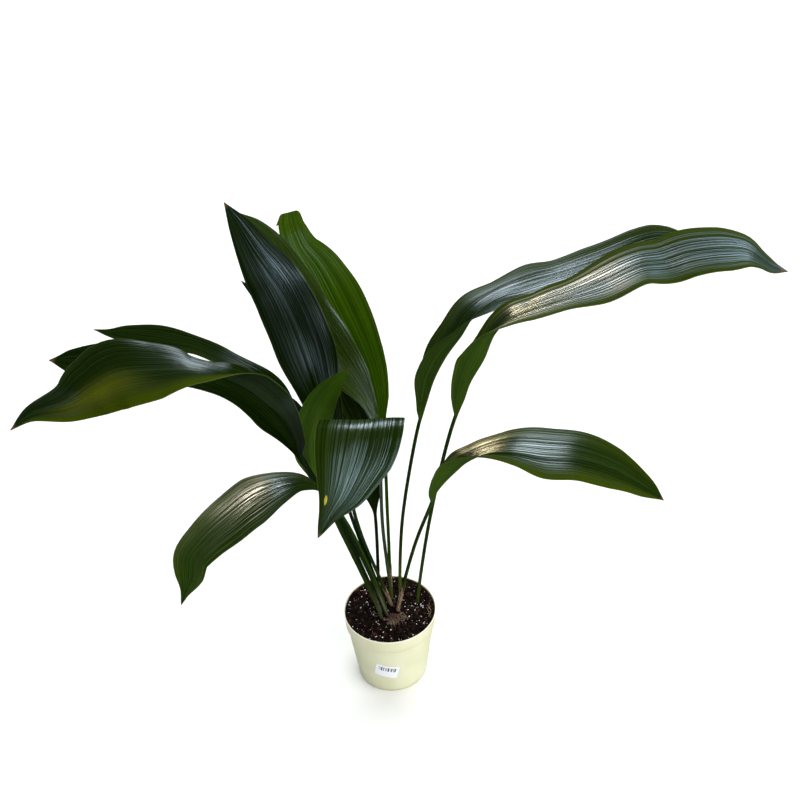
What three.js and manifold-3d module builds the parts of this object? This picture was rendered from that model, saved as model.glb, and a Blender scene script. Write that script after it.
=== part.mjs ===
import * as THREE from 'three';
import { mergeVertices } from 'three/addons/utils/BufferGeometryUtils.js';
import Module from 'manifold-3d';

// A potted cast iron plant: thirteen long-stalked leaves in a plastic nursery pot of peat mix.
// Millimetres, +Z up. The origin is the centre of the pot's base, and -Y is the plant's front.

const wasm = await Module();
wasm.setup();

// Driving dimensions
const SEGMENTS = 48;
const ROUTE_STEPS = 400;
const GAP = 0.3;

const POT = {
  height: 134,
  rimRadius: 76,
  baseRadius: 58.5,
  bandHeight: 25,
  bandDraft: 1.9,
  bandStep: 2.2,
  chamfer: 1.5,
  lip: 1.6,
  bead: { height: 2.6, proud: 0.6, round: 0.8 },
  wall: 1.4,
  floor: 3.5,
  drainHoles: 6,
  drainSides: 16,
  drainRadius: 5,
  drainCircle: 36,
};

const SOIL = {
  level: 130.5,
  mound: 2.5,
  backRise: 2.5,
  topRings: 7,
  lumps: 34,
  lumpReach: [6, 12],
  lumpHeight: [-1.9, 2.9],
  seed: 11,
};

const RHIZOME = {
  centre: [8.5, -22, 129.5],
  radii: [12, 9.5, 7.5],
  knob: { height: 1.6, turns: [5, 4], shifts: [1, 2] },
};

const LABEL = {
  width: 38,
  height: 29.5,
  thickness: 0.5,
  steps: 12,
  centreAngle: -8,
  centreHeight: 56,
  tilt: -12,
};

// rim is the thickness of a stalk's two edges, and sheath that of the dry sheath on some stalks.
const STALK = { radius: 2.7, rows: 7, holeRows: 3, rim: 0.8, sheath: 1.1 };

// The stalk flattens out over the blade's neck, a share of its length, and the fold is complete
// where half the blade is foldedFrom wide. keel rounds the fold's bottom, as a share of that half.
const BLADE = {
  rows: 20,
  columns: 6,
  margin: 0.7,
  midrib: 1.4,
  midribReach: 3,
  midribTaper: 0.7,
  neck: 0.12,
  tip: 0.4,
  foldedFrom: 16,
  keel: 0.14,
  waveLength: 85,
  waveInward: 1.6,
  waveSwell: 0.7,
};

// Each leaf runs through its stations from the stalk's foot in the soil to the blade's tip.
// A station is a place, the way the upper side faces, how far each half folds up in degrees, and how
// wide the blade is there. bladeStart is the station where the stalk turns into the blade.
// wave is how far the margins ripple, and phases are where the left and right ripples start.
// sheath is how high above the soil a dry sheath wraps the stalk.
const LEAVES = {
  leaf_far_left: {
    wave: 1.5, phases: [0, 2], bladeStart: 3,
    stations: [
      [[-1, -13, 98], [0.9, 0.4, 0.1], 55, 0],
      [[-4, -14, 129], [0.9, 0.4, 0.2], 55, 0],
      [[-58, -38, 345], [0.9, 0.4, 0.3], 55, 0],
      [[-104, -68, 488], [0.9, 0.4, 0.3], 55, 0],
      [[-109, -84, 538], [0.9, 0.3, 0.2], 52, 30],
      [[-118, -94, 572], [0.8, 0.4, 0.5], 52, 46],
      [[-134, -104, 600], [0.5, 0.6, 0.6], 54, 66],
      [[-154, -116, 631], [0.5, 0.6, 0.7], 44, 80],
      [[-177, -128, 656], [0.4, 0.5, 0.8], 22, 92],
      [[-207, -140, 674], [0.3, 0.3, 0.9], 8, 104],
      [[-246, -150, 683], [0.2, -0.1, 1], 3, 108],
      [[-290, -164, 688], [0.1, -0.4, 0.9], 4, 100],
      [[-318, -176, 679], [0.2, -0.6, 0.7], 4, 74],
      [[-345, -186, 666], [0.3, -0.8, 0.3], 5, 47],
      [[-385, -201, 661], [0.3, -0.8, 0.4], 5, 17],
      [[-405, -215, 650], [0.1, -0.7, 0.7], 5, 0],
    ],
  },
  leaf_under_left: {
    wave: 1.5, phases: [1, 3], bladeStart: 3,
    stations: [
      [[-11, -7, 98], [0.9, 0.5, 0.1], 55, 0],
      [[-14, -8, 129], [0.8, 0.5, 0.2], 55, 0],
      [[-65, -22, 334], [0.8, 0.5, 0.3], 55, 0],
      [[-98, -38, 432], [0.8, 0.5, 0.4], 55, 0],
      [[-113, -42, 471], [0.9, -0.1, 0.3], 40, 18],
      [[-125, -48, 511], [0.8, -0.4, 0.2], 28, 33],
      [[-142, -54, 547], [0.8, -0.5, 0.3], 20, 46],
      [[-167, -60, 582], [0.8, -0.2, 0.6], 14, 64],
      [[-206, -65, 613], [0.6, 0.1, 0.8], 12, 71],
      [[-248, -68, 632], [0.5, 0, 0.9], 8, 72],
      [[-295, -68, 644], [0.2, -0.5, 0.8], 8, 66],
      [[-347, -68, 652], [0.1, -0.5, 0.9], 8, 56],
      [[-385, -70, 657], [0, -0.4, 0.9], 6, 31],
      [[-406, -72, 660], [0, -0.2, 1], 5, 0],
    ],
  },
  leaf_back_left: {
    wave: 1.5, phases: [2, 5], bladeStart: 3,
    stations: [
      [[-17, 5, 98], [0.9, 0.4, 0.1], 45, 0],
      [[-20, 5, 129], [0.9, 0.4, 0.2], 45, 0],
      [[-65, 0, 314], [0.9, 0.4, 0.2], 45, 0],
      [[-101, 16, 445], [0.9, 0.4, 0.2], 45, 0],
      [[-110, 15, 490], [0.9, 0.4, 0.3], 40, 20],
      [[-123, 11, 527], [0.8, 0.4, 0.4], 32, 38],
      [[-139, 14, 549], [0.8, 0.2, 0.6], 25, 44],
      [[-168, 9, 578], [0.7, 0, 0.7], 18, 48],
      [[-199, 3, 606], [0.6, 0.1, 0.8], 10, 51],
      [[-241, 1, 633], [0.4, 0, 0.9], 8, 52],
      [[-284, -2, 647], [0.2, -0.2, 0.9], 8, 48],
      [[-329, -5, 658], [0.2, -0.2, 0.9], 8, 34],
      [[-350, -7, 663], [0.2, -0.1, 1], 6, 14],
      [[-366, -9, 669], [0.1, 0.1, 1], 5, 0],
    ],
  },
  leaf_low_left: {
    wave: 1.5, phases: [4, 1], bladeStart: 3,
    stations: [
      [[-10, -17, 98], [1, -0.3, 0.1], 45, 0],
      [[-13, -19, 129], [0.9, -0.3, 0.2], 45, 0],
      [[-66, -52, 354], [0.9, -0.3, 0.2], 45, 0],
      [[-84, -78, 443], [0.9, -0.3, 0.3], 45, 0],
      [[-110, -90, 465], [0.5, -0.5, 0.7], 30, 23],
      [[-137, -102, 467], [0.2, -0.7, 0.7], 18, 43],
      [[-174, -112, 452], [-0.2, -0.7, 0.7], 10, 65],
      [[-204, -118, 431], [-0.3, -0.8, 0.5], 6, 63],
      [[-240, -122, 400], [-0.3, -0.9, 0.3], 5, 55],
      [[-265, -124, 370], [-0.1, -1, 0.1], 5, 49],
      [[-275, -122, 331], [0, -1, 0], 5, 37],
      [[-287, -120, 301], [-0.2, -1, 0], 5, 12],
      [[-297, -117, 275], [-0.4, -0.9, 0], 5, 0],
    ],
  },
  leaf_young_front: {
    wave: 1.5, phases: [3, 0], bladeStart: 3,
    stations: [
      [[-3, -1, 98], [0.1, 1, 0], 30, 0],
      [[-6, -2, 129], [0.1, 1, 0.1], 30, 0],
      [[-56, -12, 323], [0.1, 1, 0.1], 30, 0],
      [[-89, -18, 397], [0.1, 1, 0.1], 30, 0],
      [[-101, -24, 446], [0.2, 0.9, 0.1], 25, 46],
      [[-98, -29, 490], [0.1, 1, 0.1], 20, 50],
      [[-80, -38, 549], [0.2, 0.9, 0.1], 15, 42],
      [[-58, -55, 592], [0.3, 0.9, 0], 15, 26],
      [[-32, -72, 630], [0.6, 0.7, -0.2], 10, 0],
    ],
  },
  leaf_folded_front: {
    wave: 1.5, phases: [0, 2], bladeStart: 3,
    stations: [
      [[6, 8, 98], [-0.1, 1, 0], 30, 0],
      [[3, 7, 129], [0, 1, 0], 30, 0],
      [[-37, -3, 293], [-0.1, 1, 0.1], 30, 0],
      [[-46, -18, 376], [-0.1, 1, 0.2], 30, 0],
      [[-36, -44, 458], [0.1, 0.9, 0.3], 20, 44],
      [[-28, -74, 529], [0.2, 0.9, 0.5], 10, 88],
      [[-19, -110, 576], [0, 0.6, 0.8], 4, 107],
      [[-20, -144, 585], [0, -0.3, 1], 4, 106],
      [[-29, -172, 561], [0.2, -0.8, 0.5], 4, 96],
      [[-45, -190, 523], [0.3, -0.9, 0.1], 6, 66],
      [[-63, -199, 494], [0.3, -0.9, 0], 7, 26],
      [[-78, -204, 465], [0, -0.9, 0.2], 8, 0],
    ],
  },
  leaf_tall_front: {
    wave: 1.5, phases: [5, 2], bladeStart: 3,
    stations: [
      [[-6, 16, 98], [0.3, -0.9, 0], 40, 0],
      [[-9, 15, 129], [0.4, -0.9, 0], 40, 0],
      [[-48, 6, 310], [0.3, -0.9, 0.1], 40, 0],
      [[-61, 16, 369], [0.3, -0.9, 0.2], 40, 0],
      [[-68, 24, 447], [0.3, -0.9, 0.1], 25, 27],
      [[-84, 33, 536], [0, -1, 0.2], 16, 61],
      [[-101, 46, 614], [-0.2, -1, 0.1], 12, 91],
      [[-125, 58, 684], [-0.3, -0.9, 0.1], 12, 90],
      [[-154, 70, 733], [0, -1, 0.3], 12, 54],
      [[-175, 82, 771], [0.2, -0.8, 0.4], 8, 28],
      [[-192, 93, 798], [0.1, -0.9, 0.4], 5, 0],
    ],
  },
  leaf_tall_middle: {
    wave: 1.5, phases: [1, 4], bladeStart: 3,
    stations: [
      [[5, 18, 98], [0.3, -0.9, 0.1], 45, 0],
      [[4, 20, 129], [0.3, -0.9, 0.1], 45, 0],
      [[-5, 38, 272], [0.3, -0.9, 0.1], 45, 0],
      [[-5, 57, 439], [0.3, -0.9, 0.1], 45, 0],
      [[-16, 61, 497], [0, -1, 0.1], 30, 23],
      [[-36, 69, 535], [0, -1, 0.2], 18, 50],
      [[-78, 79, 601], [-0.2, -1, 0.1], 10, 80],
      [[-115, 90, 672], [0, -1, 0.2], 8, 70],
      [[-140, 104, 729], [0.2, -0.9, 0.4], 8, 42],
      [[-162, 112, 756], [0.1, -0.9, 0.4], 6, 26],
      [[-178, 117, 774], [0.1, -0.9, 0.4], 5, 0],
    ],
  },
  leaf_tall_hidden: {
    wave: 1.5, phases: [2, 0], bladeStart: 2,
    stations: [
      [[-18, 30, 98], [0.1, -1, 0.1], 45, 0],
      [[-18, 33, 129], [0.1, -1, 0.2], 45, 0],
      [[-17, 64, 280], [0.1, -1, 0.1], 45, 0],
      [[-23, 66, 348], [0.1, -1, 0.1], 30, 44],
      [[-34, 72, 412], [0, -1, 0.2], 20, 68],
      [[-54, 82, 467], [-0.1, -1, 0.2], 12, 80],
      [[-84, 96, 534], [0.1, -1, 0.3], 10, 72],
      [[-127, 112, 595], [0.2, -0.9, 0.4], 10, 48],
      [[-165, 128, 638], [0.1, -0.9, 0.4], 8, 20],
      [[-193, 138, 665], [0.1, -0.9, 0.4], 5, 0],
    ],
  },
  leaf_tall_back: {
    wave: 2, phases: [0, 4], sheath: 58, bladeStart: 3,
    stations: [
      [[2, 30, 98], [0, -1, 0.1], 45, 0],
      [[2, 32, 129], [0, -1, 0.2], 45, 0],
      [[3, 58, 274], [0, -1, 0.2], 45, 0],
      [[2, 80, 414], [0, -1, 0.2], 45, 0],
      [[-9, 108, 470], [0.1, -0.9, 0.4], 25, 46],
      [[-29, 136, 531], [-0.2, -0.9, 0.3], 14, 85],
      [[-62, 160, 604], [0, -0.9, 0.3], 8, 98],
      [[-87, 180, 657], [0.2, -0.9, 0.4], 5, 80],
      [[-108, 190, 693], [0.4, -0.7, 0.5], 5, 56],
      [[-119, 205, 721], [0.2, -0.5, 0.8], 5, 40],
      [[-126, 240, 729], [-0.1, 0.2, 1], 4, 24],
      [[-152, 275, 696], [-0.1, 0.5, 0.9], 4, 0],
    ],
  },
  leaf_right_back: {
    wave: 1.5, phases: [0, 2], bladeStart: 3,
    stations: [
      [[16, 40, 98], [-0.9, 0.3, 0], 60, 0],
      [[17, 40, 129], [-0.9, 0.3, 0.1], 60, 0],
      [[27, 36, 291], [-0.9, 0.3, 0.1], 60, 0],
      [[57, 28, 475], [-0.9, 0.3, 0.2], 60, 0],
      [[64, 27, 499], [-0.8, 0.6, 0.3], 60, 18],
      [[70, 25, 518], [-0.8, 0.5, 0.3], 60, 36],
      [[81, 26, 552], [-0.9, 0.3, 0.4], 60, 66],
      [[98, 29, 585], [-0.8, 0.2, 0.5], 57, 81],
      [[120, 32, 616], [-0.8, 0, 0.6], 46, 86],
      [[136, 34, 642], [-0.7, 0, 0.7], 31, 87],
      [[167, 35, 667], [-0.5, 0, 0.9], 14, 88],
      [[208, 34, 681], [-0.3, -0.2, 0.9], 12, 85],
      [[256, 32, 697], [-0.3, -0.2, 0.9], 8, 81],
      [[300, 30, 712], [-0.3, -0.3, 0.9], 8, 73],
      [[350, 28, 733], [-0.2, -0.5, 0.8], 8, 63],
      [[372, 27, 740], [-0.2, -0.6, 0.8], 7, 57],
      [[391, 26, 744], [-0.1, -0.6, 0.8], 6, 42],
      [[427, 24, 747], [-0.1, -0.3, 1], 5, 0],
    ],
  },
  leaf_right_front: {
    wave: 1.5, phases: [2.5, 0.5], bladeStart: 3,
    stations: [
      [[43, 12, 98], [-0.9, 0.4, 0.1], 60, 0],
      [[45, 11, 129], [-0.9, 0.4, 0.1], 60, 0],
      [[69, -6, 325], [-0.9, 0.4, 0.2], 60, 0],
      [[104, -36, 521], [-0.9, 0.4, 0.2], 60, 0],
      [[117, -42, 559], [-0.8, 0.5, 0.3], 60, 38],
      [[125, -48, 588], [-0.8, 0.4, 0.4], 60, 58],
      [[141, -58, 627], [-0.8, 0.4, 0.5], 54, 79],
      [[153, -68, 668], [-0.7, 0.3, 0.6], 33, 75],
      [[171, -76, 694], [-0.7, 0.1, 0.7], 17, 68],
      [[198, -82, 711], [-0.4, 0.1, 0.9], 6, 76],
      [[232, -88, 726], [-0.4, 0, 0.9], 4, 74],
      [[273, -92, 744], [-0.4, -0.2, 0.9], 4, 76],
      [[318, -94, 766], [-0.3, -0.3, 0.9], 4, 71],
      [[344, -95, 769], [-0.2, -0.4, 0.9], 4, 69],
      [[373, -96, 778], [-0.2, -0.4, 0.9], 4, 71],
      [[411, -98, 782], [0, -0.4, 0.9], 4, 69],
      [[438, -99, 779], [0.2, -0.4, 0.9], 4, 52],
      [[457, -100, 767], [0.3, -0.5, 0.8], 4, 27],
      [[471, -101, 758], [0.3, -0.6, 0.7], 4, 17],
      [[489, -102, 752], [0.4, -0.6, 0.7], 3, 0],
    ],
  },
  leaf_low_right: {
    wave: 1.5, phases: [0, 2], sheath: 62, bladeStart: 3,
    stations: [
      [[10, -7, 98], [-0.9, 0.5, 0.1], 60, 0],
      [[12, -8, 129], [-0.9, 0.5, 0.2], 60, 0],
      [[43, -24, 284], [-0.8, 0.5, 0.3], 60, 0],
      [[70, -44, 383], [-0.8, 0.5, 0.3], 60, 0],
      [[76, -48, 405], [-0.8, 0.4, 0.4], 60, 20],
      [[87, -52, 424], [-0.8, 0.4, 0.5], 60, 43],
      [[105, -58, 450], [-0.7, 0.4, 0.7], 56, 61],
      [[120, -62, 468], [-0.5, 0.4, 0.7], 38, 62],
      [[146, -66, 484], [-0.3, 0.2, 0.9], 25, 65],
      [[177, -70, 491], [-0.1, -0.1, 1], 13, 71],
      [[224, -74, 485], [0.1, -0.4, 0.9], 9, 79],
      [[272, -76, 479], [0.2, -0.5, 0.8], 8, 73],
      [[322, -78, 458], [0.4, -0.6, 0.7], 7, 61],
      [[360, -80, 432], [0.5, -0.5, 0.7], 6, 40],
      [[379, -80, 417], [0.5, -0.6, 0.6], 6, 21],
      [[395, -80, 401], [0.5, -0.6, 0.6], 5, 0],
    ],
  },
};

const MATERIALS = {
  pot: new THREE.MeshStandardMaterial({ color: 0xe9e6bd, roughness: 0.45, metalness: 0 }),
  soil: new THREE.MeshStandardMaterial({ color: 0x2c1d17, roughness: 0.95, metalness: 0 }),
  rhizome: new THREE.MeshStandardMaterial({ color: 0x7a5a48, roughness: 0.85, metalness: 0 }),
  label: new THREE.MeshStandardMaterial({ color: 0xf4f5f7, roughness: 0.5, metalness: 0 }),
  leaf: new THREE.MeshStandardMaterial({ color: 0x23401c, roughness: 0.35, metalness: 0 }),
};

// A small repeatable random number generator, so that every build gives the same plant.
function seededRandom(seed) {
  let state = seed;
  return () => {
    state = (state * 1664525 + 1013904223) % 4294967296;
    return state / 4294967296;
  };
}

function smooth(value, from, to) {
  const share = THREE.MathUtils.clamp((value - from) / (to - from), 0, 1);
  return share * share * (3 - 2 * share);
}

// Solids and meshes
function toSolid(geometry) {
  const bare = geometry.clone();
  bare.deleteAttribute('normal');
  bare.deleteAttribute('uv');
  const merged = mergeVertices(bare, 1e-4);
  return new wasm.Manifold(new wasm.Mesh({
    numProp: 3,
    vertProperties: new Float32Array(merged.getAttribute('position').array),
    triVerts: new Uint32Array(merged.getIndex().array),
  }));
}

function toGeometry(solid) {
  const mesh = solid.getMesh();
  const geometry = new THREE.BufferGeometry();
  geometry.setAttribute('position', new THREE.BufferAttribute(new Float32Array(mesh.vertProperties), 3));
  geometry.setIndex(new THREE.BufferAttribute(new Uint32Array(mesh.triVerts), 1));
  geometry.computeVertexNormals();
  return geometry;
}

function largestBody(solid) {
  return solid.decompose().reduce((best, body) => (body.volume() > best.volume() ? body : best));
}

// A profile of [radius, height] points turned about the upright axis.
function turned(profile) {
  const points = profile.map(([radius, height]) => new THREE.Vector2(radius, height));
  return new THREE.LatheGeometry(points, SEGMENTS).rotateX(Math.PI / 2);
}

// Pot: a tapered wall below a deep rim band with a small bead at its lip.
const bandBottom = POT.height - POT.bandHeight;
const bandRadius = POT.rimRadius - POT.bandDraft;

function wallRadius(height) {
  return POT.baseRadius + (bandRadius - POT.bandStep - POT.baseRadius) * (height / bandBottom);
}

// The pot's inside from the band down to the floor, drawn in by a gap for what fills it.
function insideProfile(gap) {
  const { wall, floor, chamfer } = POT;
  return [
    [bandRadius - wall - gap, bandBottom + chamfer],
    [wallRadius(bandBottom - chamfer) - wall - gap, bandBottom - chamfer],
    [wallRadius(floor) - wall - gap, floor + gap],
    [0, floor + gap],
  ];
}

function potGeometry() {
  const { height, rimRadius, baseRadius, chamfer, lip, bead, floor } = POT;
  const profile = [
    [0, 0],
    [baseRadius - chamfer, 0],
    [wallRadius(chamfer), chamfer],
    [wallRadius(bandBottom - chamfer), bandBottom - chamfer],
    [bandRadius, bandBottom],
    [rimRadius - bead.proud, height - bead.height - 2 * bead.proud],
    [rimRadius, height - bead.height],
    [rimRadius, height - bead.round],
    [rimRadius - bead.round, height],
    [rimRadius - lip + bead.proud, height],
    [rimRadius - lip, height - bead.round],
    ...insideProfile(0),
  ];
  let pot = toSolid(turned(profile));
  for (let i = 0; i < POT.drainHoles; i++) {
    const angle = (i / POT.drainHoles) * 2 * Math.PI;
    const hole = new THREE.CylinderGeometry(POT.drainRadius, POT.drainRadius, 4 * floor, POT.drainSides);
    hole.rotateX(Math.PI / 2);
    hole.translate(POT.drainCircle * Math.cos(angle), POT.drainCircle * Math.sin(angle), 0);
    pot = pot.subtract(toSolid(hole));
  }
  return toGeometry(pot);
}

// Soil surface: a low mound that rises to the back, with rounded lumps.
const random = seededRandom(SOIL.seed);
const soilRadius = POT.rimRadius - POT.lip - 3 * GAP;
const lumps = Array.from({ length: SOIL.lumps }, () => {
  const distance = soilRadius * Math.sqrt(random());
  const angle = 2 * Math.PI * random();
  return {
    x: distance * Math.cos(angle),
    y: distance * Math.sin(angle),
    reach: THREE.MathUtils.lerp(...SOIL.lumpReach, random()),
    height: THREE.MathUtils.lerp(...SOIL.lumpHeight, random()),
  };
});

function soilHeight(x, y) {
  const distance = Math.hypot(x, y) / soilRadius;
  let height = SOIL.level + SOIL.mound * (1 - distance * distance) + (SOIL.backRise * y) / soilRadius;
  for (const lump of lumps) {
    const apart = Math.hypot(x - lump.x, y - lump.y) / lump.reach;
    height += lump.height * Math.exp(-apart * apart);
  }
  return height;
}

function soilGeometry(cutters) {
  const profile = insideProfile(GAP).reverse();
  for (let ring = SOIL.topRings; ring >= 0; ring--) {
    profile.push([(ring / SOIL.topRings) * soilRadius, SOIL.level]);
  }
  const body = turned(profile);
  const places = body.getAttribute('position');
  for (let i = 0; i < places.count; i++) {
    if (places.getZ(i) > SOIL.level - GAP) places.setZ(i, soilHeight(places.getX(i), places.getY(i)));
  }
  return toGeometry(largestBody(cutters.reduce((soil, cutter) => soil.subtract(cutter), toSolid(body))));
}

// Rhizome: the knobbly rootstock that shows at the surface, grown by a margin to make its pocket.
function rhizomeBody(margin) {
  const ball = new THREE.IcosahedronGeometry(1, 4);
  const body = mergeVertices(ball.deleteAttribute('normal').deleteAttribute('uv'));
  const places = body.getAttribute('position');
  const [cx, cy, cz] = RHIZOME.centre;
  const [rx, ry, rz] = RHIZOME.radii;
  const { height, turns, shifts } = RHIZOME.knob;
  for (let i = 0; i < places.count; i++) {
    const [x, y, z] = [places.getX(i), places.getY(i), places.getZ(i)];
    const knob = height * Math.sin(turns[0] * x + shifts[0]) * Math.sin(turns[1] * y + shifts[1]) + margin;
    places.setXYZ(i, cx + x * (rx + knob), cy + y * (ry + knob), cz + z * (rz + knob));
  }
  return toSolid(body);
}

// Label: a thin sticker bent round the pot's wall.
function labelGeometry() {
  const tilt = THREE.MathUtils.degToRad(LABEL.tilt);
  const middle = THREE.MathUtils.degToRad(LABEL.centreAngle);
  const corner = (across, up, out) => {
    const along = across * Math.cos(tilt) - up * Math.sin(tilt);
    const height = LABEL.centreHeight + across * Math.sin(tilt) + up * Math.cos(tilt);
    const radius = wallRadius(height) + out;
    const angle = middle + along / wallRadius(LABEL.centreHeight);
    return [radius * Math.sin(angle), -radius * Math.cos(angle), height];
  };
  const rings = [];
  for (let i = 0; i <= LABEL.steps; i++) {
    const across = LABEL.width * (i / LABEL.steps - 0.5);
    const [low, high] = [-LABEL.height / 2, LABEL.height / 2];
    const [inner, outer] = [GAP, GAP + LABEL.thickness];
    rings.push([corner(across, low, outer), corner(across, low, inner),
      corner(across, high, inner), corner(across, high, outer)]);
  }
  return loft(rings);
}

// A closed body through rings of points, capped at both ends. Each ring runs anticlockwise when seen
// from the far end, and its points pair up across the section, so a thin blade gets thin caps.
function loft(rings) {
  const count = rings[0].length;
  const points = rings.flat(2);
  const index = [];
  for (let i = 0; i + 1 < rings.length; i++) {
    for (let j = 0; j < count; j++) {
      const next = (j + 1) % count;
      const [a, b, c, d] = [i * count + j, i * count + next, (i + 1) * count + next, (i + 1) * count + j];
      if (j < count / 2) index.push(a, b, c, a, c, d);
      else index.push(a, b, d, b, c, d);
    }
  }
  const cap = (start, flip) => {
    for (let j = 0; j + 1 < count / 2; j++) {
      const [a, b, c, d] = [j, j + 1, count - 2 - j, count - 1 - j].map((k) => start + k);
      if (flip) index.push(a, b, c, a, c, d);
      else index.push(a, c, b, a, d, c);
    }
  };
  cap(0, false);
  cap((rings.length - 1) * count, true);
  const geometry = new THREE.BufferGeometry();
  geometry.setAttribute('position', new THREE.BufferAttribute(new Float32Array(points), 3));
  geometry.setIndex(index);
  geometry.computeVertexNormals();
  return geometry;
}

// Leaves
function leafPath(leaf) {
  const vectors = (k) => leaf.stations.map((station) => new THREE.Vector3(...station[k]));
  const route = new THREE.CatmullRomCurve3(vectors(0));
  route.arcLengthDivisions = ROUTE_STEPS;
  const facing = new THREE.CatmullRomCurve3(vectors(1));
  const shape = new THREE.CatmullRomCurve3(
    leaf.stations.map(([, , fold, width]) => new THREE.Vector3(width, fold, 0)));
  const lengths = route.getLengths();
  const steps = leaf.stations.length - 1;
  const bladeFrom = lengths[Math.round((leaf.bladeStart / steps) * ROUTE_STEPS)] / route.getLength();
  const at = (share) => {
    const t = route.getUtoTmapping(THREE.MathUtils.clamp(share, 0, 1));
    const tangent = route.getTangent(t);
    const up = facing.getPoint(t).projectOnPlane(tangent).normalize();
    const { x: width, y: fold } = shape.getPoint(t);
    return { place: route.getPoint(t), tangent, up, side: tangent.clone().cross(up), fold, width };
  };
  return { at, bladeFrom, length: route.getLength() };
}

// How far a point of a section lies above the keel: c runs from -1 at the left margin to 1 at the
// right one, half is half the leaf's width there, and angle is how far each half folds up.
function sectionRise(leaf, path, onBlade, c, half, angle) {
  const bladeLength = path.length * (1 - path.bladeFrom);
  const phase = c < 0 ? leaf.phases[0] : leaf.phases[1];
  const ripple = Math.sin((2 * Math.PI * onBlade * bladeLength) / BLADE.waveLength + phase);
  const swell = Math.sin(Math.PI * onBlade) ** BLADE.waveSwell;
  const fold = half * (Math.hypot(c, BLADE.keel) - BLADE.keel) * Math.sin(angle);
  return fold + leaf.wave * Math.abs(c) ** BLADE.waveInward * swell * ripple;
}

// One section across a leaf, as a ring: the upper side from left to right, then the under side back.
// t runs from 0 at the blade's start to 1 at its tip, and is below 0 on the stalk.
function section(leaf, path, share, t, clearance) {
  const { place, tangent, up, side, fold, width } = path.at(share);
  const onBlade = Math.max(t, 0);
  const above = place.z - SOIL.level;
  const sheath = leaf.sheath ? STALK.sheath * (1 - smooth(above, 0.8 * leaf.sheath, leaf.sheath)) : 0;
  const radius = STALK.radius + sheath;
  const spread = t > 0 ? Math.max(width, 0) / 2 + BLADE.tip * t : 0;
  const half = (radius + clearance) * (1 - onBlade) + spread;
  const angle = THREE.MathUtils.degToRad(fold) * smooth(half, STALK.radius + 1, BLADE.foldedFrom);
  const flat = smooth(t, 0, BLADE.neck);
  const middle = [];
  const thickness = [];
  for (let j = 0; j <= BLADE.columns; j++) {
    const round = -Math.cos((Math.PI * j) / BLADE.columns);
    const even = (2 * j) / BLADE.columns - 1;
    const c = THREE.MathUtils.lerp(round, even, flat);
    const rise = sectionRise(leaf, path, onBlade, c, half, angle);
    middle.push(place.clone().addScaledVector(side, half * c * Math.cos(angle)).addScaledVector(up, rise));
    const thick = STALK.rim + 2 * clearance + (2 * radius - STALK.rim) * Math.sqrt(Math.max(0, 1 - c * c));
    const midrib = Math.exp(-(((c * half) / BLADE.midribReach) ** 2)) * (1 - BLADE.midribTaper * onBlade);
    thickness.push(THREE.MathUtils.lerp(thick, BLADE.margin + BLADE.midrib * midrib, flat));
  }
  const normals = middle.map((_, j) => {
    const across = middle[Math.min(j + 1, BLADE.columns)].clone().sub(middle[Math.max(j - 1, 0)]);
    return across.cross(tangent).normalize();
  });
  const offset = (j, way) =>
    middle[j].clone().addScaledVector(normals[j], (way * thickness[j]) / 2).toArray();
  const columns = [...middle.keys()];
  return [...columns.map((j) => offset(j, 1)), ...columns.reverse().map((j) => offset(j, -1))];
}

function stalkRings(leaf, path, count, clearance) {
  return Array.from({ length: count }, (_, i) =>
    section(leaf, path, (path.bladeFrom * i) / STALK.rows, -1, clearance));
}

function leafGeometry(leaf) {
  const path = leafPath(leaf);
  const rings = stalkRings(leaf, path, STALK.rows, 0);
  for (let i = 0; i <= BLADE.rows; i++) {
    const t = i / BLADE.rows;
    rings.push(section(leaf, path, path.bladeFrom + (1 - path.bladeFrom) * t, t, 0));
  }
  return loft(rings);
}

// The hole that a stalk stands in: its first sections with a gap all round and below.
function stalkHole(leaf) {
  const rings = stalkRings(leaf, leafPath(leaf), STALK.holeRows, GAP);
  const below = rings[0].map(([x, y, z]) => [x, y, z - GAP]);
  return toSolid(loft([below, ...rings]));
}

function part(name, geometry, material) {
  const mesh = new THREE.Mesh(geometry, material);
  mesh.name = name;
  return mesh;
}

const stalkHoles = Object.values(LEAVES).map(stalkHole);
const rhizome = stalkHoles.reduce((body, hole) => body.subtract(hole), rhizomeBody(0));

const plant = new THREE.Group();
plant.add(
  part('pot', potGeometry(), MATERIALS.pot),
  part('soil', soilGeometry([...stalkHoles, rhizomeBody(GAP)]), MATERIALS.soil),
  part('rhizome', toGeometry(largestBody(rhizome)), MATERIALS.rhizome),
  part('label', labelGeometry(), MATERIALS.label),
);
for (const [name, leaf] of Object.entries(LEAVES)) {
  plant.add(part(name, leafGeometry(leaf), MATERIALS.leaf));
}

export default plant;
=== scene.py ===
import math

import bmesh
import bpy
import numpy as np
from mathutils import Matrix, Vector


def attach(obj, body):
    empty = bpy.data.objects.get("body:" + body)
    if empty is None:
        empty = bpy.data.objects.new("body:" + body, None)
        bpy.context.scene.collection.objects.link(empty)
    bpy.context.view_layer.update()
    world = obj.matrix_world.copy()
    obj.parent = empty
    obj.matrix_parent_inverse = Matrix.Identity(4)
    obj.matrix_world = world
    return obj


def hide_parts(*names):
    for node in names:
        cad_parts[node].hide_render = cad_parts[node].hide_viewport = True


# A potted cast iron plant: thirteen long-stalked leaves in a plastic nursery pot of peat mix.
# Metres, +Z up. The origin is the centre of the pot's base, and -Y is the plant's front.

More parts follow.
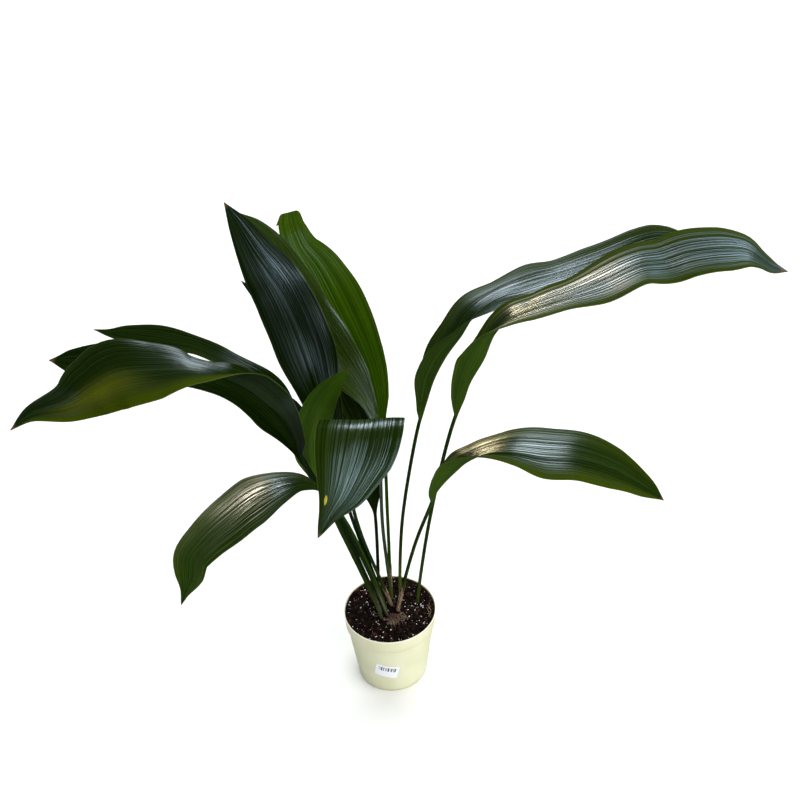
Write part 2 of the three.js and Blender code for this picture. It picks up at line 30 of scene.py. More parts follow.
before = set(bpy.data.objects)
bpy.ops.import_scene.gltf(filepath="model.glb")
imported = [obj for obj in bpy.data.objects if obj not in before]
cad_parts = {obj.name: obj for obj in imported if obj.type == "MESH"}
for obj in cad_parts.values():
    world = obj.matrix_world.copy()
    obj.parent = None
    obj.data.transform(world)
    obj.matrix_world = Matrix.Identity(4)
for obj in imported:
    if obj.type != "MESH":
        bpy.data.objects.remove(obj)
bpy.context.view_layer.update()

# How finely a leaf's route is measured, how near two points of it are when they count as one, and the
# share of it over which its direction is taken.
ROUTE_STEPS = 400
REPEATED = 1e-4
NEARBY = 1e-3

SEEDS = {"label": 3, "soil": 5, "crumbs": 7, "rhizome": 9, "leaves": 20, "sheaths": 60}

# foot holds the bends of the base, as steps in from its edge and up from the ground. bend is where the
# wall's straight part ends, above the ground and below the band, and the edges are how far bends are rounded.
POT = {
    "height": 0.134, "rim_radius": 0.076, "base_radius": 0.0585, "band_height": 0.025,
    "band_draft": 0.0019, "band_step": 0.0022, "lip": 0.0016, "wall": 0.0014, "floor": 0.0035,
    "foot": ((0.006, 0.0012), (0.005, 0), (0.0022, 0), (0.0009, 0.0005)), "bend": 0.0018,
    "band_edge": 0.0005, "floor_edge": 0.001, "inner_step": 0.0015, "segments": 192,
    "drain_holes": 6, "drain_radius": 0.005, "drain_circle": 0.036, "drain_sides": 32,
}

# bumps are sizes and heights of the soil's random waves.
SOIL = {
    "level": 0.1305, "mound": 0.0025, "back_rise": 0.0025, "radius": 0.0735, "gap": 0.0003,
    "lumps": 34, "lump_reach": (0.006, 0.012), "lump_height": (-0.0019, 0.0029), "lump_seed": 11,
    "bumps": ((0.012, 0.0007), (0.005, 0.0006), (0.0025, 0.0003)), "smooth_edge": 0.004,
    "step": 0.0015, "rings": 64, "segments": 200,
}

# buds are places on the rootstock, across and to the back in shares of its radii, and a size.
RHIZOME = {
    "centre": (0.0085, -0.022, 0.1295), "radii": (0.012, 0.0095, 0.0075),
    "knob": 0.0016, "scar": 0.0005, "grit": 0.00035,
    "buds": ((-0.55, -0.5, 0.0026), (0.45, -0.6, 0.003), (0.75, 0.25, 0.0024), (-0.1, -0.85, 0.002)),
}

# Fine roots that leave the rootstock: ways are angles in radians, and start is a share of its radii.
FINE_ROOTS = {
    "count": 70, "ways": (-3.3, 0.6), "start": (0.3, 0.9), "first": 0.004, "reach": (0.006, 0.011),
    "bend": 0.003, "radius": (0.00015, 0.0004), "lift": (0.001, 0.006),
}

# How finely all roots are made, and how thick and high those are that lie on the soil.
ROOT = {"steps": 32, "sides": 8, "radius": 0.00032, "lift": 0.0036}

# Roots that lie on the soil, in mm: a loop at the left and hairs at the right.
ROOTS = (
    ((-31, -4), (-29, -14), (-21, -18), (-16, -10), (-21, -3), (-28, 4)),
    ((-27, -2), (-24, -12), (-17, -14), (-14, -20)),
    ((67, 12), (64, 1), (67, -10), (65, -20), (66, -29)),
    ((69, 4), (62, -6), (64, -18), (60, -26)),
    ((58, 10), (63, -2), (69, -12)),
)

LABEL = {
    "width": 0.038, "height": 0.0295, "thickness": 0.0003, "gap": 0.0003, "corner": 0.002,
    "centre_angle": -8, "centre_height": 0.056, "tilt": -12, "steps": 61,
}

# The plain bars on the label. ink is how far their outer and inner faces stand off the paper.
BARS = {
    "start": -0.0135, "end": 0.0130, "width": (0.0004, 0.0026), "space": (0.0005, 0.0024),
    "foot": 0.0005, "top": 0.0098, "uneven": 0.0006, "ink": (0.00006, 0.00001),
}

STALK = {"radius": 0.0027, "rows": 28, "rim": 0.0008}

# start is the station where the stalk turns into the blade, and wave is how far the margins ripple,
# both unless a leaf says otherwise.
BLADE = {
    "rows": 100, "columns": 96, "margin": 0.00055, "midrib": 0.0012, "midrib_reach": 0.0028,
    "midrib_taper": 0.7, "groove": 0.35, "groove_reach": 0.0012, "neck": 0.12, "tip": 0.0004,
    "folded_from": 0.016, "keel": 0.14, "start": 3, "wave": 0.0015, "wave_length": 0.085,
    "wave_inward": 1.6, "wave_swell": 0.7,
}

# How high above the soil a dry sheath reaches round a stalk, and its shape. wrap is in half turns, and
# tears are shares of its height.
SHEATHS = {
    "leaf_tall_back": 0.066, "leaf_low_right": 0.070, "leaf_folded_front": 0.050, "leaf_tall_hidden": 0.030,
}
SHEATH = {
    "sunk": 0.004, "wrap": 1.97, "gap": 0.0001, "flare": 0.0004, "thickness": 0.0003,
    "tears": (0.22, 0.1), "wrinkles": (0.00012, 0.0002), "rows": 60, "columns": 73,
}

# The share of a leaf's texture length that its stalk takes, and how far apart leaves lie in the noise.
STALK_SHARE = 0.25
NOISE_STEP = 3.7

# Lengthwise pleats: how many cross a blade 80 mm wide, and how high each set stands.
PLEATS = {"reference_width": 0.08, "sets": ((7, 0.00028), (13, 0.00022), (24, 0.00013))}

# How far the margins roll down, as a share of half the blade's width, and how sharply.
ROLL = {"depth": 0.05, "power": 4}

# Each leaf runs through its stations from the stalk's foot in the soil to the blade's tip.
# A station is a place in mm, the way the upper side faces, how far each half folds up in degrees, and
# how wide the blade is there in mm. phases are where the left and right ripples start.
LEAVES = {
    "leaf_far_left": {"phases": (0, 2), "stations": (
        ((-1, -13, 98), (0.9, 0.4, 0.1), 55, 0),
        ((-4, -14, 129), (0.9, 0.4, 0.2), 55, 0),
        ((-58, -38, 345), (0.9, 0.4, 0.3), 55, 0),
        ((-104, -68, 488), (0.9, 0.4, 0.3), 55, 0),
        ((-109, -84, 538), (0.9, 0.3, 0.2), 52, 30),
        ((-118, -94, 572), (0.8, 0.4, 0.5), 52, 46),
        ((-134, -104, 600), (0.5, 0.6, 0.6), 54, 66),
        ((-154, -116, 631), (0.5, 0.6, 0.7), 44, 80),
        ((-177, -128, 656), (0.4, 0.5, 0.8), 22, 92),
        ((-207, -140, 674), (0.3, 0.3, 0.9), 8, 104),
        ((-246, -150, 683), (0.2, -0.1, 1), 3, 108),
        ((-290, -164, 688), (0.1, -0.4, 0.9), 4, 100),
        ((-318, -176, 679), (0.2, -0.6, 0.7), 4, 74),
        ((-345, -186, 666), (0.3, -0.8, 0.3), 5, 47),
        ((-385, -201, 661), (0.3, -0.8, 0.4), 5, 17),
        ((-405, -215, 650), (0.1, -0.7, 0.7), 5, 0),
    )},
    "leaf_under_left": {"phases": (1, 3), "stations": (
        ((-11, -7, 98), (0.9, 0.5, 0.1), 55, 0),
        ((-14, -8, 129), (0.8, 0.5, 0.2), 55, 0),
        ((-65, -22, 334), (0.8, 0.5, 0.3), 55, 0),
        ((-98, -38, 432), (0.8, 0.5, 0.4), 55, 0),
        ((-113, -42, 471), (0.9, -0.1, 0.3), 40, 18),
        ((-125, -48, 511), (0.8, -0.4, 0.2), 28, 33),
        ((-142, -54, 547), (0.8, -0.5, 0.3), 20, 46),
        ((-167, -60, 582), (0.8, -0.2, 0.6), 14, 64),
        ((-206, -65, 613), (0.6, 0.1, 0.8), 12, 71),
        ((-248, -68, 632), (0.5, 0, 0.9), 8, 72),
        ((-295, -68, 644), (0.2, -0.5, 0.8), 8, 66),
        ((-347, -68, 652), (0.1, -0.5, 0.9), 8, 56),
        ((-385, -70, 657), (0, -0.4, 0.9), 6, 31),
        ((-406, -72, 660), (0, -0.2, 1), 5, 0),
    )},
    "leaf_back_left": {"phases": (2, 5), "stations": (
        ((-17, 5, 98), (0.9, 0.4, 0.1), 45, 0),
        ((-20, 5, 129), (0.9, 0.4, 0.2), 45, 0),
        ((-65, 0, 314), (0.9, 0.4, 0.2), 45, 0),
        ((-101, 16, 445), (0.9, 0.4, 0.2), 45, 0),
        ((-110, 15, 490), (0.9, 0.4, 0.3), 40, 20),
        ((-123, 11, 527), (0.8, 0.4, 0.4), 32, 38),
        ((-139, 14, 549), (0.8, 0.2, 0.6), 25, 44),
        ((-168, 9, 578), (0.7, 0, 0.7), 18, 48),
        ((-199, 3, 606), (0.6, 0.1, 0.8), 10, 51),
        ((-241, 1, 633), (0.4, 0, 0.9), 8, 52),
        ((-284, -2, 647), (0.2, -0.2, 0.9), 8, 48),
        ((-329, -5, 658), (0.2, -0.2, 0.9), 8, 34),
        ((-350, -7, 663), (0.2, -0.1, 1), 6, 14),
        ((-366, -9, 669), (0.1, 0.1, 1), 5, 0),
    )},
    "leaf_low_left": {"phases": (4, 1), "stations": (
        ((-10, -17, 98), (1, -0.3, 0.1), 45, 0),
        ((-13, -19, 129), (0.9, -0.3, 0.2), 45, 0),
        ((-66, -52, 354), (0.9, -0.3, 0.2), 45, 0),
        ((-84, -78, 443), (0.9, -0.3, 0.3), 45, 0),
        ((-110, -90, 465), (0.5, -0.5, 0.7), 30, 23),
        ((-137, -102, 467), (0.2, -0.7, 0.7), 18, 43),
        ((-174, -112, 452), (-0.2, -0.7, 0.7), 10, 65),
        ((-204, -118, 431), (-0.3, -0.8, 0.5), 6, 63),
        ((-240, -122, 400), (-0.3, -0.9, 0.3), 5, 55),
        ((-265, -124, 370), (-0.1, -1, 0.1), 5, 49),
        ((-275, -122, 331), (0, -1, 0), 5, 37),
        ((-287, -120, 301), (-0.2, -1, 0), 5, 12),
        ((-297, -117, 275), (-0.4, -0.9, 0), 5, 0),
    )},
    "leaf_young_front": {"phases": (3, 0), "stations": (
        ((-3, -1, 98), (0.1, 1, 0), 30, 0),
        ((-6, -2, 129), (0.1, 1, 0.1), 30, 0),
        ((-56, -12, 323), (0.1, 1, 0.1), 30, 0),
        ((-89, -18, 397), (0.1, 1, 0.1), 30, 0),
        ((-101, -24, 446), (0.2, 0.9, 0.1), 25, 46),
        ((-98, -29, 490), (0.1, 1, 0.1), 20, 50),
        ((-80, -38, 549), (0.2, 0.9, 0.1), 15, 42),
        ((-58, -55, 592), (0.3, 0.9, 0), 15, 26),
        ((-32, -72, 630), (0.6, 0.7, -0.2), 10, 0),
    )},
    "leaf_folded_front": {"phases": (0, 2), "stations": (
        ((6, 8, 98), (-0.1, 1, 0), 30, 0),
        ((3, 7, 129), (0, 1, 0), 30, 0),
        ((-37, -3, 293), (-0.1, 1, 0.1), 30, 0),
        ((-46, -18, 376), (-0.1, 1, 0.2), 30, 0),
        ((-36, -44, 458), (0.1, 0.9, 0.3), 20, 44),
        ((-28, -74, 529), (0.2, 0.9, 0.5), 10, 88),
        ((-19, -110, 576), (0, 0.6, 0.8), 4, 107),
        ((-20, -144, 585), (0, -0.3, 1), 4, 106),
        ((-29, -172, 561), (0.2, -0.8, 0.5), 4, 96),
        ((-45, -190, 523), (0.3, -0.9, 0.1), 6, 66),
        ((-63, -199, 494), (0.3, -0.9, 0), 7, 26),
        ((-78, -204, 465), (0, -0.9, 0.2), 8, 0),
    )},
    "leaf_tall_front": {"phases": (5, 2), "stations": (
        ((-6, 16, 98), (0.3, -0.9, 0), 40, 0),
        ((-9, 15, 129), (0.4, -0.9, 0), 40, 0),
        ((-48, 6, 310), (0.3, -0.9, 0.1), 40, 0),
        ((-61, 16, 369), (0.3, -0.9, 0.2), 40, 0),
        ((-68, 24, 447), (0.3, -0.9, 0.1), 25, 27),
        ((-84, 33, 536), (0, -1, 0.2), 16, 61),
        ((-101, 46, 614), (-0.2, -1, 0.1), 12, 91),
        ((-125, 58, 684), (-0.3, -0.9, 0.1), 12, 90),
        ((-154, 70, 733), (0, -1, 0.3), 12, 54),
        ((-175, 82, 771), (0.2, -0.8, 0.4), 8, 28),
        ((-192, 93, 798), (0.1, -0.9, 0.4), 5, 0),
    )},
    "leaf_tall_middle": {"phases": (1, 4), "stations": (
        ((5, 18, 98), (0.3, -0.9, 0.1), 45, 0),
        ((4, 20, 129), (0.3, -0.9, 0.1), 45, 0),
        ((-5, 38, 272), (0.3, -0.9, 0.1), 45, 0),
        ((-5, 57, 439), (0.3, -0.9, 0.1), 45, 0),
        ((-16, 61, 497), (0, -1, 0.1), 30, 23),
        ((-36, 69, 535), (0, -1, 0.2), 18, 50),
        ((-78, 79, 601), (-0.2, -1, 0.1), 10, 80),
        ((-115, 90, 672), (0, -1, 0.2), 8, 70),
        ((-140, 104, 729), (0.2, -0.9, 0.4), 8, 42),
        ((-162, 112, 756), (0.1, -0.9, 0.4), 6, 26),
        ((-178, 117, 774), (0.1, -0.9, 0.4), 5, 0),
    )},
    "leaf_tall_hidden": {"phases": (2, 0), "blade_start": 2, "stations": (
        ((-18, 30, 98), (0.1, -1, 0.1), 45, 0),
        ((-18, 33, 129), (0.1, -1, 0.2), 45, 0),
        ((-17, 64, 280), (0.1, -1, 0.1), 45, 0),
        ((-23, 66, 348), (0.1, -1, 0.1), 30, 44),
        ((-34, 72, 412), (0, -1, 0.2), 20, 68),
        ((-54, 82, 467), (-0.1, -1, 0.2), 12, 80),
        ((-84, 96, 534), (0.1, -1, 0.3), 10, 72),
        ((-127, 112, 595), (0.2, -0.9, 0.4), 10, 48),
        ((-165, 128, 638), (0.1, -0.9, 0.4), 8, 20),
        ((-193, 138, 665), (0.1, -0.9, 0.4), 5, 0),
    )},
    "leaf_tall_back": {"phases": (0, 4), "wave": 0.002, "stations": (
        ((2, 30, 98), (0, -1, 0.1), 45, 0),
        ((2, 32, 129), (0, -1, 0.2), 45, 0),
        ((3, 58, 274), (0, -1, 0.2), 45, 0),
        ((2, 80, 414), (0, -1, 0.2), 45, 0),
        ((-9, 108, 470), (0.1, -0.9, 0.4), 25, 46),
        ((-29, 136, 531), (-0.2, -0.9, 0.3), 14, 85),
        ((-62, 160, 604), (0, -0.9, 0.3), 8, 98),
        ((-87, 180, 657), (0.2, -0.9, 0.4), 5, 80),
        ((-108, 190, 693), (0.4, -0.7, 0.5), 5, 56),
        ((-119, 205, 721), (0.2, -0.5, 0.8), 5, 40),
        ((-126, 240, 729), (-0.1, 0.2, 1), 4, 24),
        ((-152, 275, 696), (-0.1, 0.5, 0.9), 4, 0),
    )},
    "leaf_right_back": {"phases": (0, 2), "stations": (
        ((16, 40, 98), (-0.9, 0.3, 0), 60, 0),
        ((17, 40, 129), (-0.9, 0.3, 0.1), 60, 0),
        ((27, 36, 291), (-0.9, 0.3, 0.1), 60, 0),
        ((57, 28, 475), (-0.9, 0.3, 0.2), 60, 0),
        ((64, 27, 499), (-0.8, 0.6, 0.3), 60, 18),
        ((70, 25, 518), (-0.8, 0.5, 0.3), 60, 36),
        ((81, 26, 552), (-0.9, 0.3, 0.4), 60, 66),
        ((98, 29, 585), (-0.8, 0.2, 0.5), 57, 81),
        ((120, 32, 616), (-0.8, 0, 0.6), 46, 86),
        ((136, 34, 642), (-0.7, 0, 0.7), 31, 87),
        ((167, 35, 667), (-0.5, 0, 0.9), 14, 88),
        ((208, 34, 681), (-0.3, -0.2, 0.9), 12, 85),
        ((256, 32, 697), (-0.3, -0.2, 0.9), 8, 81),
        ((300, 30, 712), (-0.3, -0.3, 0.9), 8, 73),
        ((350, 28, 733), (-0.2, -0.5, 0.8), 8, 63),
        ((372, 27, 740), (-0.2, -0.6, 0.8), 7, 57),
        ((391, 26, 744), (-0.1, -0.6, 0.8), 6, 42),
        ((427, 24, 747), (-0.1, -0.3, 1), 5, 0),
    )},
    "leaf_right_front": {"phases": (2.5, 0.5), "stations": (
        ((43, 12, 98), (-0.9, 0.4, 0.1), 60, 0),
        ((45, 11, 129), (-0.9, 0.4, 0.1), 60, 0),
        ((69, -6, 325), (-0.9, 0.4, 0.2), 60, 0),
        ((104, -36, 521), (-0.9, 0.4, 0.2), 60, 0),
        ((117, -42, 559), (-0.8, 0.5, 0.3), 60, 38),
        ((125, -48, 588), (-0.8, 0.4, 0.4), 60, 58),
        ((141, -58, 627), (-0.8, 0.4, 0.5), 54, 79),
        ((153, -68, 668), (-0.7, 0.3, 0.6), 33, 75),
        ((171, -76, 694), (-0.7, 0.1, 0.7), 17, 68),
        ((198, -82, 711), (-0.4, 0.1, 0.9), 6, 76),
        ((232, -88, 726), (-0.4, 0, 0.9), 4, 74),
        ((273, -92, 744), (-0.4, -0.2, 0.9), 4, 76),
        ((318, -94, 766), (-0.3, -0.3, 0.9), 4, 71),
        ((344, -95, 769), (-0.2, -0.4, 0.9), 4, 69),
        ((373, -96, 778), (-0.2, -0.4, 0.9), 4, 71),
        ((411, -98, 782), (0, -0.4, 0.9), 4, 69),
        ((438, -99, 779), (0.2, -0.4, 0.9), 4, 52),
        ((457, -100, 767), (0.3, -0.5, 0.8), 4, 27),
        ((471, -101, 758), (0.3, -0.6, 0.7), 4, 17),
        ((489, -102, 752), (0.4, -0.6, 0.7), 3, 0),
    )},
    "leaf_low_right": {"phases": (0, 2), "stations": (
        ((10, -7, 98), (-0.9, 0.5, 0.1), 60, 0),
        ((12, -8, 129), (-0.9, 0.5, 0.2), 60, 0),
        ((43, -24, 284), (-0.8, 0.5, 0.3), 60, 0),
        ((70, -44, 383), (-0.8, 0.5, 0.3), 60, 0),
        ((76, -48, 405), (-0.8, 0.4, 0.4), 60, 20),
        ((87, -52, 424), (-0.8, 0.4, 0.5), 60, 43),
        ((105, -58, 450), (-0.7, 0.4, 0.7), 56, 61),
        ((120, -62, 468), (-0.5, 0.4, 0.7), 38, 62),
        ((146, -66, 484), (-0.3, 0.2, 0.9), 25, 65),
        ((177, -70, 491), (-0.1, -0.1, 1), 13, 71),
        ((224, -74, 485), (0.1, -0.4, 0.9), 9, 79),
        ((272, -76, 479), (0.2, -0.5, 0.8), 8, 73),
        ((322, -78, 458), (0.4, -0.6, 0.7), 7, 61),
        ((360, -80, 432), (0.5, -0.5, 0.7), 6, 40),
        ((379, -80, 417), (0.5, -0.6, 0.6), 6, 21),
        ((395, -80, 401), (0.5, -0.6, 0.6), 5, 0),
    )},
}

# Each leaf's looks in the order of LOOK_NAMES. upper and under are the two skins' greens, from 0 for dark
# to 1 for bright: partly the leaf's own age, old or young, and partly painted shade and light, darker where a
# leaf lies in shade and brighter where it is lit from behind. glow is how much light comes through the
# blade, foot how pale the stalk's foot is, gloss how much the upper skin shines, and husk how dry the foot
# is.
# margins are how yellow-green the left and right margins turn, partly their own tone and partly painted light
# shining through the thin edge, and dull is how matt the two sides are.
LOOK_NAMES = ("upper", "under", "glow", "foot", "gloss", "husk", "margins", "dull")
LOOKS = {
    "leaf_far_left": (0.08, 0.0, 0.15, 0.2, 0.7, 0.8, (1.0, 0), (0, 0)),
    "leaf_under_left": (0.05, 0.0, 0.2, 0.2, 0.6, 0.9, (0, 0), (0, 0)),
    "leaf_back_left": (0.08, 0.0, 0.2, 0.1, 0.5, 0.8, (0.2, 0), (0, 0)),
    "leaf_low_left": (0.45, 0.4, 0.5, 0.2, 0.6, 0.6, (0.1, 0.6), (0.9, 0)),
    "leaf_young_front": (0.55, 0.85, 0.7, 0.3, 0.25, 0, (0, 0), (0, 0)),
    "leaf_folded_front": (0.3, 0.3, 0.2, 0.2, 0.9, 0, (0, 0), (0, 1.0)),
    "leaf_tall_front": (0.05, 0.2, 0.1, 0.1, 0.8, 0, (0, 0.1), (0.8, 0)),
    "leaf_tall_middle": (0.9, 0.2, 0.3, 0.5, 0.8, 0, (0, 0), (0, 0)),
    "leaf_tall_hidden": (0.1, 0.2, 0.1, 0.2, 0.4, 0, (0, 0), (0, 0)),
    "leaf_tall_back": (0.95, 0.8, 0.8, 0.3, 0.25, 0.4, (0.2, 0.4), (0, 0)),
    "leaf_right_back": (0.15, 0.4, 0.4, 0.9, 0.7, 0, (0.7, 0), (0, 0)),
    "leaf_right_front": (0.2, 0.55, 0.4, 0.3, 0.7, 0, (1.0, 0.9), (0, 0)),
    "leaf_low_right": (0.25, 0.6, 0.4, 0.2, 0.7, 0, (0.6, 1.0), (0, 0)),
}

# Blemishes, and on the far left leaf a yellow-green patch of painted light shining through the blade: the
# place across and along the leaf, the reach in both, the tone, and where it fades.
BLEMISHES_AND_PAINTED_GLOW = {
    "leaf_far_left": ((0.35, 0.83), (0.20, 0.085), (0.085, 0.100, 0.004), (2.0, 0.3)),
    "leaf_young_front": ((0.93, 0.92), (0.10, 0.006), (0.14, 0.045, 0.010), (1.5, 1.1)),
    "leaf_folded_front": ((0.81, 0.903), (0.05, 0.013), (0.50, 0.40, 0.03), (1.5, 1.1)),
}


# Curves
def unit(vectors):
    return vectors / np.linalg.norm(vectors, axis=-1, keepdims=True)


def smooth(value, start, end):
    share = np.clip((value - start) / (end - start), 0, 1)
    return share * share * (3 - 2 * share)


def catmull_rom(points, t):
    """A centripetal Catmull-Rom spline through points, where t runs from 0 to 1 over all of it."""
    points = np.asarray(points, float)
    last = len(points) - 1
    padded = np.vstack([2 * points[0] - points[1], points, 2 * points[-1] - points[-2]])
    place = np.clip(t, 0, 1) * last
    span = np.minimum(place.astype(int), last - 1)
    p0, p1, p2, p3 = (padded[span + k] for k in range(4))
    d0, d1, d2 = (np.sqrt(np.linalg.norm(b - a, axis=1))[:, None] for a, b in ((p0, p1), (p1, p2), (p2, p3)))
    d1 = np.where(d1 < REPEATED, 1, d1)
    d0 = np.where(d0 < REPEATED, d1, d0)
    d2 = np.where(d2 < REPEATED, d1, d2)
    start = ((p1 - p0) / d0 - (p2 - p0) / (d0 + d1) + (p2 - p1) / d1) * d1
    end = ((p2 - p1) / d1 - (p3 - p1) / (d1 + d2) + (p3 - p2) / d2) * d1
    w = (place - span)[:, None]
    square = -3 * p1 + 3 * p2 - 2 * start - end
    cube = 2 * p1 - 2 * p2 + start + end
    return p1 + start * w + square * w ** 2 + cube * w ** 3


def route_lengths(places):
    """The share of the spline, and the length run so far, at evenly spaced steps of it."""
    steps = np.linspace(0, 1, ROUTE_STEPS + 1)
    pieces = np.linalg.norm(np.diff(catmull_rom(places, steps), axis=0), axis=1)
    return steps, np.concatenate([[0], np.cumsum(pieces)])


def leaf_places(leaf):
    """The places of a leaf's stations, in metres."""
    return np.array([station[0] for station in leaf["stations"]]) / 1000


def along_leaf(leaf, share):
    """Place, tangent, upper side, sideways direction, fold and width at shares of the leaf's length."""
    places = leaf_places(leaf)
    facings = np.array([station[1] for station in leaf["stations"]], float)
    shapes = [(station[3], station[2], 0) for station in leaf["stations"]]
    steps, lengths = route_lengths(places)
    t = np.interp(share * lengths[-1], lengths, steps)
    tangent = unit(catmull_rom(places, t + NEARBY) - catmull_rom(places, t - NEARBY))
    facing = catmull_rom(facings, t)
    facing = unit(facing - np.sum(facing * tangent, axis=1, keepdims=True) * tangent)
    shape = catmull_rom(shapes, t)
    width, fold = np.clip(shape[:, 0], 0, None) / 1000, np.radians(shape[:, 1])
    return catmull_rom(places, t), tangent, facing, np.cross(tangent, facing), fold, width


def leaf_length(leaf):
    """The leaf's whole length, and the share of it where the blade starts."""
    steps, lengths = route_lengths(leaf_places(leaf))
    start = leaf.get("blade_start", BLADE["start"]) / (len(leaf["stations"]) - 1)
    return lengths[-1], np.interp(start, steps, lengths) / lengths[-1]


# Meshes
def add_object(name, vertices, faces, materials, uv=None, face_materials=None, sharp=40):
    mesh = bpy.data.meshes.new(name)
    mesh.from_pydata(np.asarray(vertices).tolist(), [], faces)
    for material in materials:
        mesh.materials.append(material)
    if face_materials is not None:
        mesh.polygons.foreach_set("material_index", np.asarray(face_materials, np.int32))
    if uv is not None:
        corners = np.zeros(len(mesh.loops), np.int32)
        mesh.loops.foreach_get("vertex_index", corners)
        mesh.uv_layers.new(name="UVMap").data.foreach_set("uv", np.asarray(uv)[corners].ravel())
    mesh.shade_smooth()
    mesh.set_sharp_from_angle(angle=math.radians(sharp))
    mesh.update()
    piece = bpy.data.objects.new(name, mesh)
    bpy.context.scene.collection.objects.link(piece)
    return piece


def finish_piece(piece, slot, *nodes):
    """The piece rides with the plant and stands for CAD nodes. slot is not used."""
    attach(piece, "root")
    if nodes:
        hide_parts(*nodes)


def turned(profile, segments):
    """Vertices and faces of a closed profile of (radius, height), from axis to axis, turned."""
    rings = profile[1:-1]
    angles = np.arange(segments) * 2 * math.pi / segments
    vertices = [(0, 0, profile[0][1]), (0, 0, profile[-1][1])]
    for radius, height in rings:
        vertices += [(radius * math.cos(a), radius * math.sin(a), height) for a in angles]
    faces = []
    last = 2 + (len(rings) - 1) * segments
    for j in range(segments):
        k = (j + 1) % segments
        faces.append((0, 2 + k, 2 + j))
        faces.append((1, last + j, last + k))
        for i in range(len(rings) - 1):
            a = 2 + i * segments
            b = a + segments
            faces.append((a + j, a + k, b + k, b + j))
    return vertices, faces


def tube(points, radii, sides):
    """Vertices and faces of a closed tube along points, with a radius at each."""
    points = np.asarray(points, float)
    radii = np.broadcast_to(radii, len(points))
    tangents = unit(np.gradient(points, axis=0))
    askew = (0.31, 0.53, 0.79)
    across = np.cross(tangents[0], askew)
    angles = np.arange(sides) * 2 * math.pi / sides
    vertices = []
    for point, tangent, radius in zip(points, tangents, radii):
        across = unit(across - np.dot(across, tangent) * tangent)
        other = np.cross(tangent, across)
        vertices += [point + radius * (across * math.cos(a) + other * math.sin(a)) for a in angles]
    faces = [tuple(reversed(range(sides))), tuple(range(len(vertices) - sides, len(vertices)))]
    for i in range(len(points) - 1):
        for j in range(sides):
            k = (j + 1) % sides
            a = i * sides
            b = a + sides
            faces.append((a + j, a + k, b + k, b + j))
    return np.array(vertices), faces


def joined(parts):
    """One list of vertices and one of faces out of several (vertices, faces) pairs."""
    vertices = []
    faces = []
    for more_vertices, more_faces in parts:
        start = len(vertices)
        vertices.extend(more_vertices)
        faces.extend(tuple(start + i for i in face) for face in more_faces)
    return vertices, faces


def ball(subdivisions):
    """Unit vertices and faces of an icosphere."""
    shape = bmesh.new()
    bmesh.ops.create_icosphere(shape, subdivisions=subdivisions, radius=1)
    vertices = np.array([vertex.co for vertex in shape.verts])
    faces = [tuple(vertex.index for vertex in face.verts) for face in shape.faces]
    shape.free()
    return vertices, faces


def slab(upper, under):
    """A closed sheet between two grids of points: first the upper skin's faces, then the under skin's."""
    rows, columns = upper.shape[:2]
    top = np.arange(rows * columns).reshape(rows, columns)
    bottom = top + rows * columns
    corners = [
        (top[:-1, :-1], top[:-1, 1:], top[1:, 1:], top[1:, :-1]),
        (bottom[:-1, :-1], bottom[1:, :-1], bottom[1:, 1:], bottom[:-1, 1:]),
        (top[:-1, 0], top[1:, 0], bottom[1:, 0], bottom[:-1, 0]),
        (top[:-1, -1], bottom[:-1, -1], bottom[1:, -1], top[1:, -1]),
        (top[0, :-1], bottom[0, :-1], bottom[0, 1:], top[0, 1:]),
        (top[-1, :-1], top[-1, 1:], bottom[-1, 1:], bottom[-1, :-1]),
    ]
    faces = np.vstack([np.stack(four, axis=-1).reshape(-1, 4) for four in corners])
    return np.vstack([upper.reshape(-1, 3), under.reshape(-1, 3)]), faces.tolist()


def grain(template, random, centre, size, roughness):
    """An irregular grain: a ball pulled in and out by random planes, stretched and turned."""
    vertices, faces = template
    shape = vertices.copy()
    for _ in range(5):
        waves = np.sin(vertices @ random.normal(0, 2.2, 3) + random.uniform(0, 6.3))
        shape *= 1 + roughness * waves[:, None]
    turn = np.linalg.qr(random.normal(0, 1, (3, 3)))[0]
    if np.linalg.det(turn) < 0:
        turn[:, 0] *= -1
    stretch = random.uniform(0.6, 1.25, 3)
    return centre + (shape * stretch * size) @ turn.T, faces


